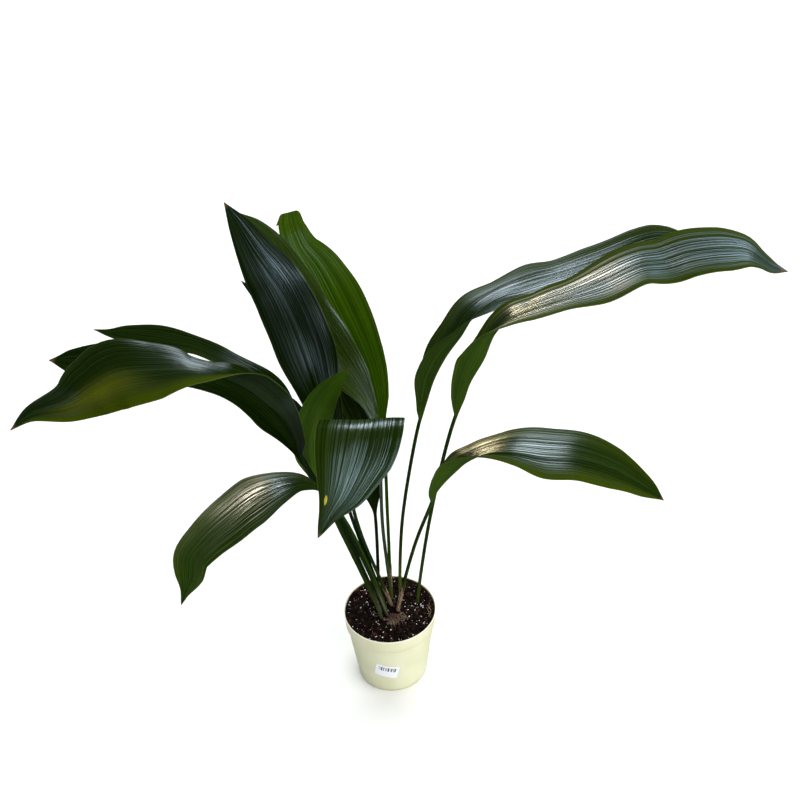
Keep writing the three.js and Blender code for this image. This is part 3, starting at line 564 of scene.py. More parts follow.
# Materials
class Shader:
    """A material's node tree. Inputs are given by name or index, as values or as other outputs."""

    def __init__(self, name):
        self.material = bpy.data.materials.new(name)
        self.material.use_nodes = True
        self.tree = self.material.node_tree
        self.tree.nodes.clear()

    def add(self, kind, inputs, output=0, **settings):
        node = self.tree.nodes.new("ShaderNode" + kind)
        for key, value in settings.items():
            setattr(node, key, value)
        for key, value in inputs.items():
            if isinstance(value, bpy.types.NodeSocket):
                self.tree.links.new(value, node.inputs[key])
            else:
                node.inputs[key].default_value = value
        return node.outputs[output]

    def place(self):
        """The place on the object, in metres."""
        return self.add("TexCoord", {}, output=3)

    def math(self, operation, a, b=0.0):
        return self.add("Math", {0: a, 1: b}, operation=operation)

    def times(self, a, b):
        return self.math("MULTIPLY", a, b)

    def plus(self, a, b):
        return self.math("ADD", a, b)

    def mix(self, factor, a, b):
        return self.add("Mix", {"Factor": factor, 6: a, 7: b}, output=2, data_type="RGBA")

    def scaled(self, vector, scale, location=(0, 0, 0)):
        return self.add("Mapping", {"Vector": vector, "Scale": scale, "Location": location})

    def noise(self, vector, scale, detail=2.0, roughness=0.5):
        inputs = {"Vector": vector, "Scale": scale, "Detail": detail, "Roughness": roughness}
        return self.add("TexNoise", inputs)

    def ramp(self, value, low, high, to_low=0.0, to_high=1.0):
        inputs = {"Value": value, "From Min": low, "From Max": high, "To Min": to_low, "To Max": to_high}
        return self.add("MapRange", inputs, interpolation_type="SMOOTHSTEP")

    def bump(self, height, distance, strength=1.0):
        return self.add("Bump", {"Height": height, "Distance": distance, "Strength": strength})

    def principled(self, color, roughness, normal=None, more=()):
        inputs = {"Base Color": color, "Roughness": roughness, **dict(more)}
        if normal:
            inputs["Normal"] = normal
        return self.add("BsdfPrincipled", inputs)

    def output(self, surface):
        node = self.tree.nodes.new("ShaderNodeOutputMaterial")
        self.tree.links.new(surface, node.inputs["Surface"])
        return self.material


def rgb(red, green, blue):
    return (red, green, blue, 1)


def blended(low, high, share):
    return rgb(*(a + (b - a) * share for a, b in zip(low, high)))


# A leaf's greens, each for the dark end and the bright end of its tone, and its other tones.
GREENS = {
    "upper_dark": ((0.002, 0.006, 0.0003), (0.018, 0.044, 0.001)),
    "upper_light": ((0.007, 0.017, 0.0008), (0.050, 0.090, 0.002)),
    "under_dark": ((0.006, 0.014, 0.0006), (0.042, 0.100, 0.003)),
    "under_light": ((0.014, 0.030, 0.002), (0.075, 0.150, 0.006)),
    "midrib": ((0.02, 0.05, 0.01), (0.07, 0.14, 0.02)),
    "glow_dark": ((0.02, 0.05, 0.001), (0.16, 0.36, 0.004)),
    "glow_light": ((0.05, 0.10, 0.002), (0.32, 0.58, 0.010)),
}
TONES = {
    "margin": rgb(0.044, 0.068, 0.002), "stalk": rgb(0.006, 0.017, 0.002), "edge": rgb(0.12, 0.15, 0.05),
    "foot": rgb(0.16, 0.19, 0.03), "husk": rgb(0.34, 0.31, 0.24), "tip": rgb(0.16, 0.09, 0.04),
}


def green(name, share):
    return blended(*GREENS[name], share)


def leaf_material(leaf, side, shift):
    """Parallel-veined leaf skin. Texture x runs across the blade and y along the leaf."""
    looks = dict(zip(LOOK_NAMES, LOOKS[leaf]))
    age_and_painted_shade, glow, foot = looks[side], looks["glow"], looks["foot"]
    upper = side == "upper"
    shader = Shader(f"{leaf}_{side}")
    mix, ramp, times, plus = shader.mix, shader.ramp, shader.times, shader.plus
    uv = shader.add("UVMap", {})
    along = shader.add("SeparateXYZ", {0: uv}, output=1)
    across = shader.add("SeparateXYZ", {0: uv}, output=0)
    fine = shader.noise(shader.scaled(uv, (125, 2.6, 1), (shift, 0, shift)), 1, 3, 0.6)
    veins = shader.noise(shader.scaled(uv, (52, 1.4, 1), (shift, 0, shift)), 1, 2, 0.6)
    streaks = shader.noise(shader.scaled(uv, (13, 0.8, 1), (0, shift, shift)), 1, 2)
    patches = shader.noise(shader.scaled(uv, (3, 5, 1), (shift, shift, 0)), 1, 3)
    # The greens follow the leaf's tone, which is partly its own age and partly painted shade and light.
    dark, light = green(side + "_dark", age_and_painted_shade), green(side + "_light", age_and_painted_shade)
    color = mix(ramp(veins, 0.42, 0.58), dark, light)
    color = mix(ramp(streaks, 0.4, 0.65, 0, 0.4), color, light)
    color = mix(ramp(patches, 0.4, 0.75, 0, 0.35), color, dark)

    blade = ramp(along, STALK_SHARE + 0.01, STALK_SHARE + 0.08)
    soft_across = plus(across, times(streaks, 0.3))
    dull = 0
    # Yellow-green margins: partly the margins' own tone and partly painted light shining through the thin
    # edge.
    for yellow, plain, start, end in zip(looks["margins"], looks["dull"], (0.50, 0.80), (0.15, 1.15)):
        if yellow and upper:
            reach = times(ramp(soft_across, start, end, 0, yellow), blade)
            color = mix(reach, color, TONES["margin"])
            dull = shader.math("MAXIMUM", dull, reach)
        if plain and upper:
            dull = shader.math("MAXIMUM", dull, ramp(soft_across, 0.65, end, 0, plain))
    lines = times(ramp(veins, 0.42, 0.57, 0.08, 1), ramp(fine, 0.4, 0.6, 0.4, 1))
    shine = times(times(lines, shader.math("SUBTRACT", 1.0, dull)), looks["gloss"])

    stalk = ramp(along, STALK_SHARE + 0.03, STALK_SHARE - 0.04, 0, 0.6)
    color = mix(stalk, color, TONES["stalk"])
    from_middle = shader.math("ABSOLUTE", shader.math("SUBTRACT", across, 0.5))
    midrib = times(ramp(from_middle, 0.012, 0.004), blade)
    color = mix(times(midrib, 0.6), color, green("midrib", age_and_painted_shade))
    # A pale line along both edges: partly the thin rim's own paler tone and partly a painted highlight where
    # the edge catches the light.
    edge = times(ramp(from_middle, 0.488, 0.497), blade)
    color = mix(times(edge, 0.5), color, TONES["edge"])
    pale = times(ramp(along, 0.10, 0.02), ramp(veins, 0.3, 0.6, 0.4 * foot, foot))
    color = mix(pale, color, TONES["foot"])
    husk = times(ramp(along, 0.07, 0.03), ramp(veins, 0.52, 0.58, 0, looks["husk"]))
    color = mix(husk, color, TONES["husk"])
    tip = ramp(plus(along, times(patches, 0.02)), 0.994, 1.006)
    color = mix(tip, color, TONES["tip"])
    # Blemishes, and on the far left leaf a painted patch of light shining through the blade.
    if leaf in BLEMISHES_AND_PAINTED_GLOW:
        (spot_x, spot_y), (reach_x, reach_y), tone, (outer, inner) = BLEMISHES_AND_PAINTED_GLOW[leaf]
        place = shader.scaled(uv, (1 / reach_x, 1 / reach_y, 0), (-spot_x / reach_x, -spot_y / reach_y, 0))
        apart = shader.add("VectorMath", {0: place}, output=1, operation="LENGTH")
        ragged = plus(apart, times(fine, 0.9))
        color = mix(ramp(ragged, outer, inner), color, rgb(*tone))

    grooves = plus(times(streaks, 0.8), times(fine, 0.12))
    normal = shader.bump(plus(veins, grooves), 0.0010, 0.7)
    smoothest, roughest = (0.23, 0.34) if upper else (0.45, 0.6)
    roughness = plus(ramp(fine, 0.3, 0.7, smoothest, roughest), times(dull, 0.35))
    skin = shader.principled(color, roughness, normal, {"Specular IOR Level": 1.0 if upper else 0.12})
    if upper:
        matt = shader.add("BsdfDiffuse", {"Color": color, "Normal": normal})
        skin = shader.add("MixShader", {0: shine, 1: matt, 2: skin})
    dim, bright = green("glow_dark", glow), green("glow_light", glow)
    lit = mix(ramp(veins, 0.35, 0.65), dim, bright)
    through = shader.add("BsdfTranslucent", {"Color": lit, "Normal": normal})
    return shader.output(shader.add("MixShader", {0: 0.3, 1: skin, 2: through}))


def pot_material():
    """Cream plastic, cloudy, with a painted highlight on the lip, a painted shadow line under the band, and
    smeared with soil near the rim.
    """
    shader = Shader("pot_plastic")
    mix, ramp, times, plus = shader.mix, shader.ramp, shader.times, shader.plus
    place = shader.place()
    cloud = shader.noise(shader.scaled(place, (22, 22, 22)), 1, 4)
    height = shader.add("SeparateXYZ", {0: place}, output=2)
    color = mix(ramp(cloud, 0.3, 0.7), rgb(0.74, 0.73, 0.48), rgb(0.78, 0.78, 0.54))
    # A painted shadow: a thin darker line on the wall just under the band's step.
    below_band = plus(height, 0.0012 + POT["band_height"] - POT["height"])
    band_shadow = ramp(shader.math("ABSOLUTE", below_band), 0.0024, 0.0004, 0, 0.8)
    color = mix(band_shadow, color, rgb(0.42, 0.40, 0.22))
    # A painted highlight: the lip turns paler towards its top.
    lip = ramp(height, POT["height"] - 0.002, POT["height"] - 0.0005)
    color = mix(times(lip, 0.7), color, rgb(0.93, 0.92, 0.80))
    smears = ramp(shader.noise(place, 160, 3), 0.62, 0.72)
    dirt = times(smears, ramp(height, 0.10, 0.134))
    color = mix(times(dirt, 0.25), color, rgb(0.25, 0.17, 0.09))
    normal = shader.bump(shader.noise(place, 900, 2), 0.00003, 0.6)
    return shader.output(shader.principled(color, ramp(cloud, 0.2, 0.8, 0.34, 0.46), normal, {
        "Subsurface Weight": 0.25, "Subsurface Radius": (0.006, 0.005, 0.003), "Subsurface Scale": 1.0,
    }))


def earth_material(name, dark, light, scale, roughness=0.9):
    """Matte brown matter whose tone changes from lump to lump."""
    shader = Shader(name)
    place = shader.place()
    tone = shader.noise(place, scale, 5, 0.65)
    fine = shader.noise(place, scale * 9, 3)
    color = shader.mix(shader.ramp(tone, 0.35, 0.68), rgb(*dark), rgb(*light))
    color = shader.mix(shader.ramp(fine, 0.45, 0.75, 0, 0.5), color, rgb(*light))
    relief = shader.bump(fine, 0.0006)
    return shader.output(shader.principled(color, roughness, relief, {"Specular IOR Level": 0.12}))


def mottled_material(name, scale, span, first, second, roughness, detail=3, relief=None):
    """A skin that goes from one tone to another with a noise. relief is a noise's scale and its height."""
    shader = Shader(name)
    place = shader.place()
    share = shader.ramp(shader.noise(place, scale, detail), *span)
    normal = shader.bump(shader.noise(place, relief[0], 3), relief[1]) if relief else None
    return shader.output(shader.principled(shader.mix(share, rgb(*first), rgb(*second)), roughness, normal))


def fibre_material(name, dark, light):
    """Dry matter in fine upright fibres, with dark spots."""
    shader = Shader(name)
    place = shader.place()
    lines = shader.noise(shader.scaled(place, (1800, 1800, 60)), 1, 3)
    color = shader.mix(shader.ramp(lines, 0.42, 0.62), rgb(*dark), rgb(*light))
    color = shader.mix(shader.ramp(shader.noise(place, 320, 2), 0.56, 0.66, 0, 0.8), color, rgb(*dark))
    return shader.output(shader.principled(color, 0.7, shader.bump(lines, 0.0003)))


# Leaves
def pleat_relief(random, c, t, half, width):
    """Lengthwise pleats that swell and fade along the blade and die out towards its ends."""
    relief = np.zeros_like(c)
    for count, height in PLEATS["sets"]:
        turns = count * width / PLEATS["reference_width"]
        start, sway, beat, fade = random.uniform(0, 2 * math.pi, 4)
        bend = 1.4 * np.sin(4 * t + sway) + 0.5 * np.sin(11 * t + beat)
        bend = bend + 1.6 * np.sin(3.7 * c + beat) + 0.8 * np.sin(9.1 * c + sway)
        crease = np.abs(np.sin(math.pi * turns * (c + 1) / 2 + start + bend))
        strength = 0.65 + 0.35 * np.sin(7 * t + 5 * c + fade)
        relief += height * strength * (crease - 0.64)
    return relief * np.clip(2 * half / width, 0, 1) ** 0.5 * smooth(t, 0.05, 0.25)


def leaf_grid(leaf, random):
    """Upper and under surfaces of a whole leaf as grids of points, with texture places."""
    length, blade_from = leaf_length(leaf)
    stalk_share = np.linspace(0, blade_from, STALK["rows"], endpoint=False)
    blade_share = np.linspace(0, 1, BLADE["rows"])
    share = np.concatenate([stalk_share, blade_from + (1 - blade_from) * blade_share])
    t = np.concatenate([np.zeros(STALK["rows"]), blade_share])[:, None]
    place, tangent, facing, side, fold, width = along_leaf(leaf, share)

    half = STALK["radius"] * (1 - t) + width[:, None] / 2 * (t > 0) + BLADE["tip"] * t
    angle = fold[:, None] * smooth(half, STALK["radius"] + 0.001, BLADE["folded_from"])
    flat = smooth(t, 0, BLADE["neck"])
    even = np.linspace(-1, 1, BLADE["columns"] + 1)[None, :]
    rounded = -np.cos(math.pi * np.linspace(0, 1, BLADE["columns"] + 1))[None, :]
    c = rounded + (even - rounded) * flat

    phase = np.where(c < 0, leaf["phases"][0], leaf["phases"][1])
    blade_length = length * (1 - blade_from)
    ripple = np.sin(2 * math.pi * t * blade_length / BLADE["wave_length"] + phase)
    swell = np.sin(math.pi * t) ** BLADE["wave_swell"]
    rise = half * (np.hypot(c, BLADE["keel"]) - BLADE["keel"]) * np.sin(angle)
    rise = rise - ROLL["depth"] * half * np.abs(c) ** ROLL["power"] * flat
    rise = rise + leaf.get("wave", BLADE["wave"]) * np.abs(c) ** BLADE["wave_inward"] * swell * ripple
    across = side[:, None] * (half * c * np.cos(angle))[..., None]
    middle = place[:, None] + across + facing[:, None] * rise[..., None]

    normal = unit(np.cross(np.gradient(middle, axis=1), np.gradient(middle, axis=0)))
    middle = middle + normal * pleat_relief(random, c, t, half, width.max())[..., None]
    normal = unit(np.cross(np.gradient(middle, axis=1), np.gradient(middle, axis=0)))

    thick = STALK["rim"] + (2 * STALK["radius"] - STALK["rim"]) * np.sqrt(np.clip(1 - c * c, 0, 1))
    rib = np.exp(-((c * half / BLADE["midrib_reach"]) ** 2)) * (1 - BLADE["midrib_taper"] * t)
    thickness = thick + (BLADE["margin"] + BLADE["midrib"] * rib - thick) * flat
    groove = BLADE["groove"] * BLADE["midrib"] * np.exp(-((c * half / BLADE["groove_reach"]) ** 2)) * flat
    upper = middle + normal * (thickness / 2 - groove)[..., None]
    under = middle - normal * (thickness / 2)[..., None]

    stalk_y = STALK_SHARE * stalk_share / blade_from
    blade_y = STALK_SHARE + (1 - STALK_SHARE) * blade_share
    texture_y = np.concatenate([stalk_y, blade_y])[:, None]
    uv = np.stack([(c + 1) / 2, np.broadcast_to(texture_y, c.shape)], axis=-1)
    return upper, under, uv


def make_leaf(name, leaf, seed):
    upper, under, uv = leaf_grid(leaf, np.random.default_rng(seed))
    vertices, faces = slab(upper, under)
    skin = (upper.shape[0] - 1) * (upper.shape[1] - 1)
    which = np.zeros(len(faces), np.int32)
    which[skin:2 * skin] = 1
    materials = [leaf_material(name, side, seed * NOISE_STEP) for side in ("upper", "under")]
    both_uv = np.vstack([uv.reshape(-1, 2)] * 2)
    blade = add_object(name + "_blade", vertices, faces, materials, both_uv, which, sharp=60)
    finish_piece(blade, "leaf", name)


def make_sheath(name, leaf, seed):
    """The dry sheath that wraps the lower stalk, loose and torn along its top."""
    random = np.random.default_rng(seed)
    shares = np.linspace(0, leaf_length(leaf)[1], ROUTE_STEPS)
    heights = along_leaf(leaf, shares)[0][:, 2]
    ends = (SOIL["level"] - SHEATH["sunk"], SOIL["level"] + SHEATHS[name])
    low, high = np.interp(ends, heights, shares)
    row = np.linspace(0, 1, SHEATH["rows"])[:, None]
    angle = np.linspace(0, SHEATH["wrap"] * math.pi, SHEATH["columns"])[None, :] + random.uniform(0, 6)
    broad, narrow = SHEATH["tears"]
    torn = 1 - broad * np.abs(np.sin(1.5 * angle + seed)) - narrow * np.abs(np.sin(5 * angle + 1)) ** 3
    share = low + (high - low) * row * torn
    place, tangent, _, side, _, _ = (a.reshape(share.shape + (-1,)) for a in along_leaf(leaf, share.ravel()))
    out = side * np.cos(angle)[..., None] + np.cross(tangent, side) * np.sin(angle)[..., None]
    fine, coarse = SHEATH["wrinkles"]
    wrinkle = fine * np.sin(11 * angle + 3 * row) + coarse * row ** 2 * np.sin(3 * angle + 6 * row)
    inside = STALK["radius"] + SHEATH["gap"] + SHEATH["flare"] * row ** 3 + wrinkle
    outside = inside + SHEATH["thickness"]
    vertices, faces = slab(place + out * outside[..., None], place + out * inside[..., None])
    finish_piece(add_object(name + "_sheath", vertices, faces, [DRY_SHEATH], sharp=60), "leaf", name)


# Pot
def wall_radius(height):
    band_bottom = POT["height"] - POT["band_height"]
    top = POT["rim_radius"] - POT["band_draft"] - POT["band_step"]
    return POT["base_radius"] + (top - POT["base_radius"]) * height / band_bottom


def pot_profile():
    """The pot's section as (radius, height): the foot, up the outside, over the lip and down inside."""
    height, rim, wall, floor = POT["height"], POT["rim_radius"], POT["wall"], POT["floor"]
    base, bead = POT["base_radius"], POT["lip"] / 2
    band_bottom = height - POT["band_height"]
    band = rim - POT["band_draft"]
    band_foot, band_rise = band_bottom + 0.0007, height - 0.0042 - band_bottom
    bend, edge, step = POT["bend"], POT["band_edge"], POT["inner_step"]
    profile = [(0, POT["foot"][0][1])] + [(base - inward, up) for inward, up in POT["foot"]]
    profile += [(wall_radius(bend), bend)]
    profile += [(wall_radius(h), h) for h in np.linspace(0.01, band_bottom - 0.003, 10)]
    profile += [(wall_radius(band_bottom - bend), band_bottom - bend)]
    profile += [(wall_radius(band_bottom) + edge, band_bottom - 0.0006)]
    profile += [(band - edge, band_bottom), (band, band_foot)]
    profile += [(band + (rim - 0.0006 - band) * s, band_foot + band_rise * s) for s in (0.33, 0.66, 0.93)]
    for angle in np.radians(range(-60, 181, 30)):
        profile.append((rim - bead + bead * math.cos(angle), height - bead + bead * math.sin(angle)))
    profile += [(band - wall, band_bottom + step)]
    profile += [(wall_radius(band_bottom - step) - wall, band_bottom - step)]
    floor_radius, floor_edge = wall_radius(floor) - wall, POT["floor_edge"]
    profile += [(floor_radius, floor + floor_edge), (floor_radius - floor_edge, floor), (0, floor)]
    return profile


def make_pot():
    vertices, faces = turned(pot_profile(), POT["segments"])
    pot = add_object("pot_shell", vertices, faces, [pot_material()], sharp=35)
    for i in range(POT["drain_holes"]):
        angle = 2 * math.pi * i / POT["drain_holes"]
        sides, radius = POT["drain_sides"], POT["drain_radius"]
        bpy.ops.mesh.primitive_cylinder_add(vertices=sides, radius=radius, depth=4 * POT["floor"])
        cutter = bpy.context.object
        cutter.location = (POT["drain_circle"] * math.cos(angle), POT["drain_circle"] * math.sin(angle), 0)
        cut = pot.modifiers.new("drain", "BOOLEAN")
        cut.object = cutter
        bpy.context.view_layer.objects.active = pot
        bpy.ops.object.modifier_apply(modifier=cut.name)
        bpy.data.objects.remove(cutter)
    finish_piece(pot, "pot", "pot")


# Soil
def soil_lumps():
    """The same repeatable lumps as in the solid soil."""
    state = SOIL["lump_seed"]
    lumps = []

    def draw():
        nonlocal state
        state = (state * 1664525 + 1013904223) % 2 ** 32
        return state / 2 ** 32

    for _ in range(SOIL["lumps"]):
        distance = SOIL["radius"] * math.sqrt(draw())
        angle = 2 * math.pi * draw()
        sizes = [low + (high - low) * draw() for low, high in (SOIL["lump_reach"], SOIL["lump_height"])]
        lumps.append((distance * math.cos(angle), distance * math.sin(angle), *sizes))
    return lumps


LUMPS = soil_lumps()


def soil_height(x, y):
    distance = np.hypot(x, y) / SOIL["radius"]
    height = SOIL["level"] + SOIL["mound"] * (1 - distance ** 2) + SOIL["back_rise"] * y / SOIL["radius"]
    for lump_x, lump_y, reach, rise in LUMPS:
        apart = np.hypot(x - lump_x, y - lump_y) / reach
        height = height + rise * np.exp(-apart ** 2)
    return height


def rough(x, y, random, size, height, waves=24):
    """A bumpy sheet made of many random waves of about one size."""
    total = np.zeros_like(x)
    for _ in range(waves):
        direction = random.normal(0, 2 * math.pi / size, 2)
        total += np.sin(x * direction[0] + y * direction[1] + random.uniform(0, 2 * math.pi))
    return height * total / math.sqrt(waves)


def make_soil():
    random = np.random.default_rng(SEEDS["soil"])
    floor, inside = POT["floor"] + SOIL["gap"], POT["wall"] + SOIL["gap"]
    band_bottom = POT["height"] - POT["band_height"]
    low, high = band_bottom - SOIL["step"], band_bottom + SOIL["step"]
    profile = [(0, floor), (wall_radius(floor) - inside, floor), (wall_radius(low) - inside, low)]
    profile += [(POT["rim_radius"] - POT["band_draft"] - inside, high)]
    profile += [(SOIL["radius"] * (1 - i / SOIL["rings"]), SOIL["level"]) for i in range(SOIL["rings"] + 1)]
    vertices, faces = turned(profile, SOIL["segments"])
    vertices = np.array(vertices)
    top = vertices[:, 2] > SOIL["level"] - 0.001
    x, y = vertices[top, 0], vertices[top, 1]
    edge = smooth(np.hypot(x, y), SOIL["radius"], SOIL["radius"] - SOIL["smooth_edge"])
    bumps = sum(rough(x, y, random, size, height) for size, height in SOIL["bumps"])
    vertices[top, 2] = soil_height(x, y) + bumps * edge
    finish_piece(add_object("soil_body", vertices, faces, [EARTH], sharp=80), "soil", "soil")


def scattered(random, count, sizes, reach, sink, roughness, template, middle=(0, 0)):
    """Grains strewn over the soil round a place, with a share of their size sunk into it."""
    parts = []
    for _ in range(count):
        distance = reach * math.sqrt(random.uniform())
        angle = random.uniform(0, 2 * math.pi)
        x, y = middle[0] + distance * math.cos(angle), middle[1] + distance * math.sin(angle)
        size = sizes[0] + (sizes[1] - sizes[0]) * random.uniform() ** 3
        if math.hypot(x, y) > SOIL["radius"] - 1.2 * size:
            continue
        centre = np.array([x, y, float(soil_height(x, y)) + size * (1 - 2 * sink) * random.uniform(0.2, 1)])
        parts.append(grain(template, random, centre, size, roughness))
    return joined(parts)


def make_crumbs():
    random = np.random.default_rng(SEEDS["crumbs"])
    template = ball(2)
    reach = SOIL["radius"] - 0.003
    for name, material, count, sizes, spread, sink, middle in (
        ("crumbs_dark", EARTH, 900, (0.0012, 0.0036), reach, 0.35, (0, 0)),
        ("crumbs_brown", BROWN, 520, (0.001, 0.003), reach, 0.35, (0, 0)),
        ("crumbs_red", RED_BARK, 90, (0.001, 0.0026), 0.020, 0.4, (-0.048, 0.036)),
    ):
        vertices, faces = scattered(random, count, sizes, spread, sink, 0.13, template, middle)
        finish_piece(add_object(name, vertices, faces, [material], sharp=180), "soil")
    everywhere = scattered(random, 400, (0.0004, 0.0012), reach, 0.1, 0.1, template)
    at_the_right = scattered(random, 70, (0.0004, 0.0013), 0.034, 0.1, 0.1, template, (0.036, -0.010))
    vertices, faces = joined([everywhere, at_the_right])
    finish_piece(add_object("perlite", vertices, faces, [PERLITE], sharp=180), "soil")


# Label, rootstock and roots
def label_point(across, up, out):
    """A point of the tilted label that is bent round the pot's wall."""
    tilt, middle = math.radians(LABEL["tilt"]), math.radians(LABEL["centre_angle"])
    along = across * math.cos(tilt) - up * math.sin(tilt)
    height = LABEL["centre_height"] + across * math.sin(tilt) + up * math.cos(tilt)
    radius = wall_radius(height) + out
    angle = middle + along / wall_radius(LABEL["centre_height"])
    return np.stack([radius * np.sin(angle), -radius * np.cos(angle), height], axis=-1)


def make_label():
    """The sticker, with plain bars of uneven width where the real one is printed."""
    outside = LABEL["gap"] + LABEL["thickness"]
    corner, high = LABEL["corner"], LABEL["height"] / 2
    up = high * np.sin(np.linspace(-math.pi / 2, math.pi / 2, LABEL["steps"]))[:, None]
    past = np.clip(np.abs(up) - (high - corner), 0, corner)
    half = LABEL["width"] / 2 - corner + np.sqrt(corner ** 2 - past ** 2)
    across = half * np.linspace(-1, 1, LABEL["steps"])
    up = up + 0 * across
    vertices, faces = slab(label_point(across, up, outside), label_point(across, up, LABEL["gap"]))
    finish_piece(add_object("label_sheet", vertices, faces, [PAPER], sharp=50), "label", "label")

    random = np.random.default_rng(SEEDS["label"])
    parts = []
    left = BARS["start"]
    while left < BARS["end"]:
        right = left + random.uniform(*BARS["width"])
        foot = BARS["foot"] + random.uniform(0, BARS["uneven"])
        top = BARS["top"] + random.uniform(0, BARS["uneven"])
        across, up = np.meshgrid(np.linspace(left, right, 3), np.linspace(foot, top, 7))
        parts.append(slab(*(label_point(across, up, outside + ink) for ink in BARS["ink"])))
        left = right + random.uniform(*BARS["space"])
    vertices, faces = joined(parts)
    finish_piece(add_object("label_ink", vertices, faces, [INK], sharp=50), "label", "label")


def surface_tube(route, radius, lift):
    """A root along places on the soil's surface, with both ends sunk into it."""
    share = np.linspace(0, 1, ROOT["steps"])
    x, y, _ = catmull_rom([(x, y, 0) for x, y in route], share).T
    rise = lift * np.sin(math.pi * share) - 2 * radius * np.cos(math.pi * share) ** 12
    radii = radius * (0.55 + 0.45 * np.sin(math.pi * share) ** 0.5)
    return tube(np.stack([x, y, soil_height(x, y) + rise], axis=-1), radii, ROOT["sides"])


def make_rhizome():
    """The knobbly rootstock with its ring scars, buds and fine roots."""
    random = np.random.default_rng(SEEDS["rhizome"])
    sphere, faces = ball(5)
    x, y, z = sphere.T
    knob = RHIZOME["knob"] * np.sin(5 * x + 1) * np.sin(4 * y + 2)
    scars = RHIZOME["scar"] * np.sin(24 * x + 2 * np.sin(3 * y) + 3 * z)
    waves = [np.sin(sphere @ random.normal(0, 22, 3) + random.uniform(0, 6)) for _ in range(12)]
    centre, radii = np.array(RHIZOME["centre"]), np.array(RHIZOME["radii"])
    body = centre + sphere * (radii + (knob + scars + RHIZOME["grit"] * sum(waves))[:, None])
    parts = [(body, faces)]
    for bud_x, bud_y, size in RHIZOME["buds"]:
        bud_z = math.sqrt(max(0, 1 - bud_x ** 2 - bud_y ** 2))
        parts.append(grain(ball(3), random, centre + radii * (bud_x, bud_y, bud_z), size, 0.06))
    vertices, faces = joined(parts)
    finish_piece(add_object("rootstock", vertices, faces, [ROOTSTOCK], sharp=180), "rhizome", "rhizome")

    parts = []
    for _ in range(FINE_ROOTS["count"]):
        way = random.uniform(*FINE_ROOTS["ways"])
        out = np.array([math.cos(way), math.sin(way)])
        bend = random.normal(0, FINE_ROOTS["bend"], (2, 2))
        start = centre[:2] + out * radii[:2] * random.uniform(*FINE_ROOTS["start"])
        end = start + out * random.uniform(*FINE_ROOTS["reach"]) + bend[1]
        route = [start, start + out * FINE_ROOTS["first"] + bend[0], end]
        radius, lift = random.uniform(*FINE_ROOTS["radius"]), random.uniform(*FINE_ROOTS["lift"])
        parts.append(surface_tube(route, radius, lift))
    for route in ROOTS:
        parts.append(surface_tube(np.array(route) / 1000, ROOT["radius"], ROOT["lift"]))
    vertices, faces = joined(parts)
    finish_piece(add_object("fine_roots", vertices, faces, [ROOT_HAIR], sharp=180), "rhizome", "rhizome")


# Floor, lights and camera
def make_floor():
    bpy.ops.mesh.primitive_plane_add(size=60)
    floor = bpy.context.object
    floor.name = "floor"
    shader = Shader("floor_paper")
    tone = shader.mix(shader.noise(shader.place(), 3, 2), rgb(0.90, 0.90, 0.90), rgb(0.92, 0.92, 0.92))
    floor.data.materials.append(shader.output(shader.add("BsdfDiffuse", {"Color": tone})))
    floor.visible_glossy = False


def aim(lamp, toward):
    """Turns a lamp so that its light comes from a direction."""
    lamp.rotation_euler = (-Vector(toward)).to_track_quat("-Z", "Y").to_euler()
    bpy.context.scene.collection.objects.link(lamp)
    lamp.visible_camera = False


def soft_sun(name, toward, angle, power, color):
    """Even light from one side, soft as an overcast sky, that makes no sheen."""
    data = bpy.data.lights.new(name, "SUN")
    data.energy = power
    data.angle = math.radians(angle)
    data.color = color
    lamp = bpy.data.objects.new(name, data)
    aim(lamp, toward)
    lamp.visible_glossy = False


def panel(name, leaves, middle, toward, distance, size, glow, color):
    """A glowing panel that only makes a sheen, on its own leaves. glow is its brightness."""
    data = bpy.data.lights.new(name, "AREA")
    data.shape = "RECTANGLE"
    data.size, data.size_y = size
    data.energy = glow * math.pi * size[0] * size[1]
    data.color = color
    lamp = bpy.data.objects.new(name, data)
    direction = Vector(toward).normalized()
    lamp.location = Vector(middle) + distance * direction
    aim(lamp, direction)
    lamp.visible_diffuse = False
    lit = bpy.data.collections.new(name + "_leaves")
    for leaf in leaves:
        lit.objects.link(bpy.data.objects[f"leaf_{leaf}_blade"])
    lamp.light_linking.receiver_collection = lit


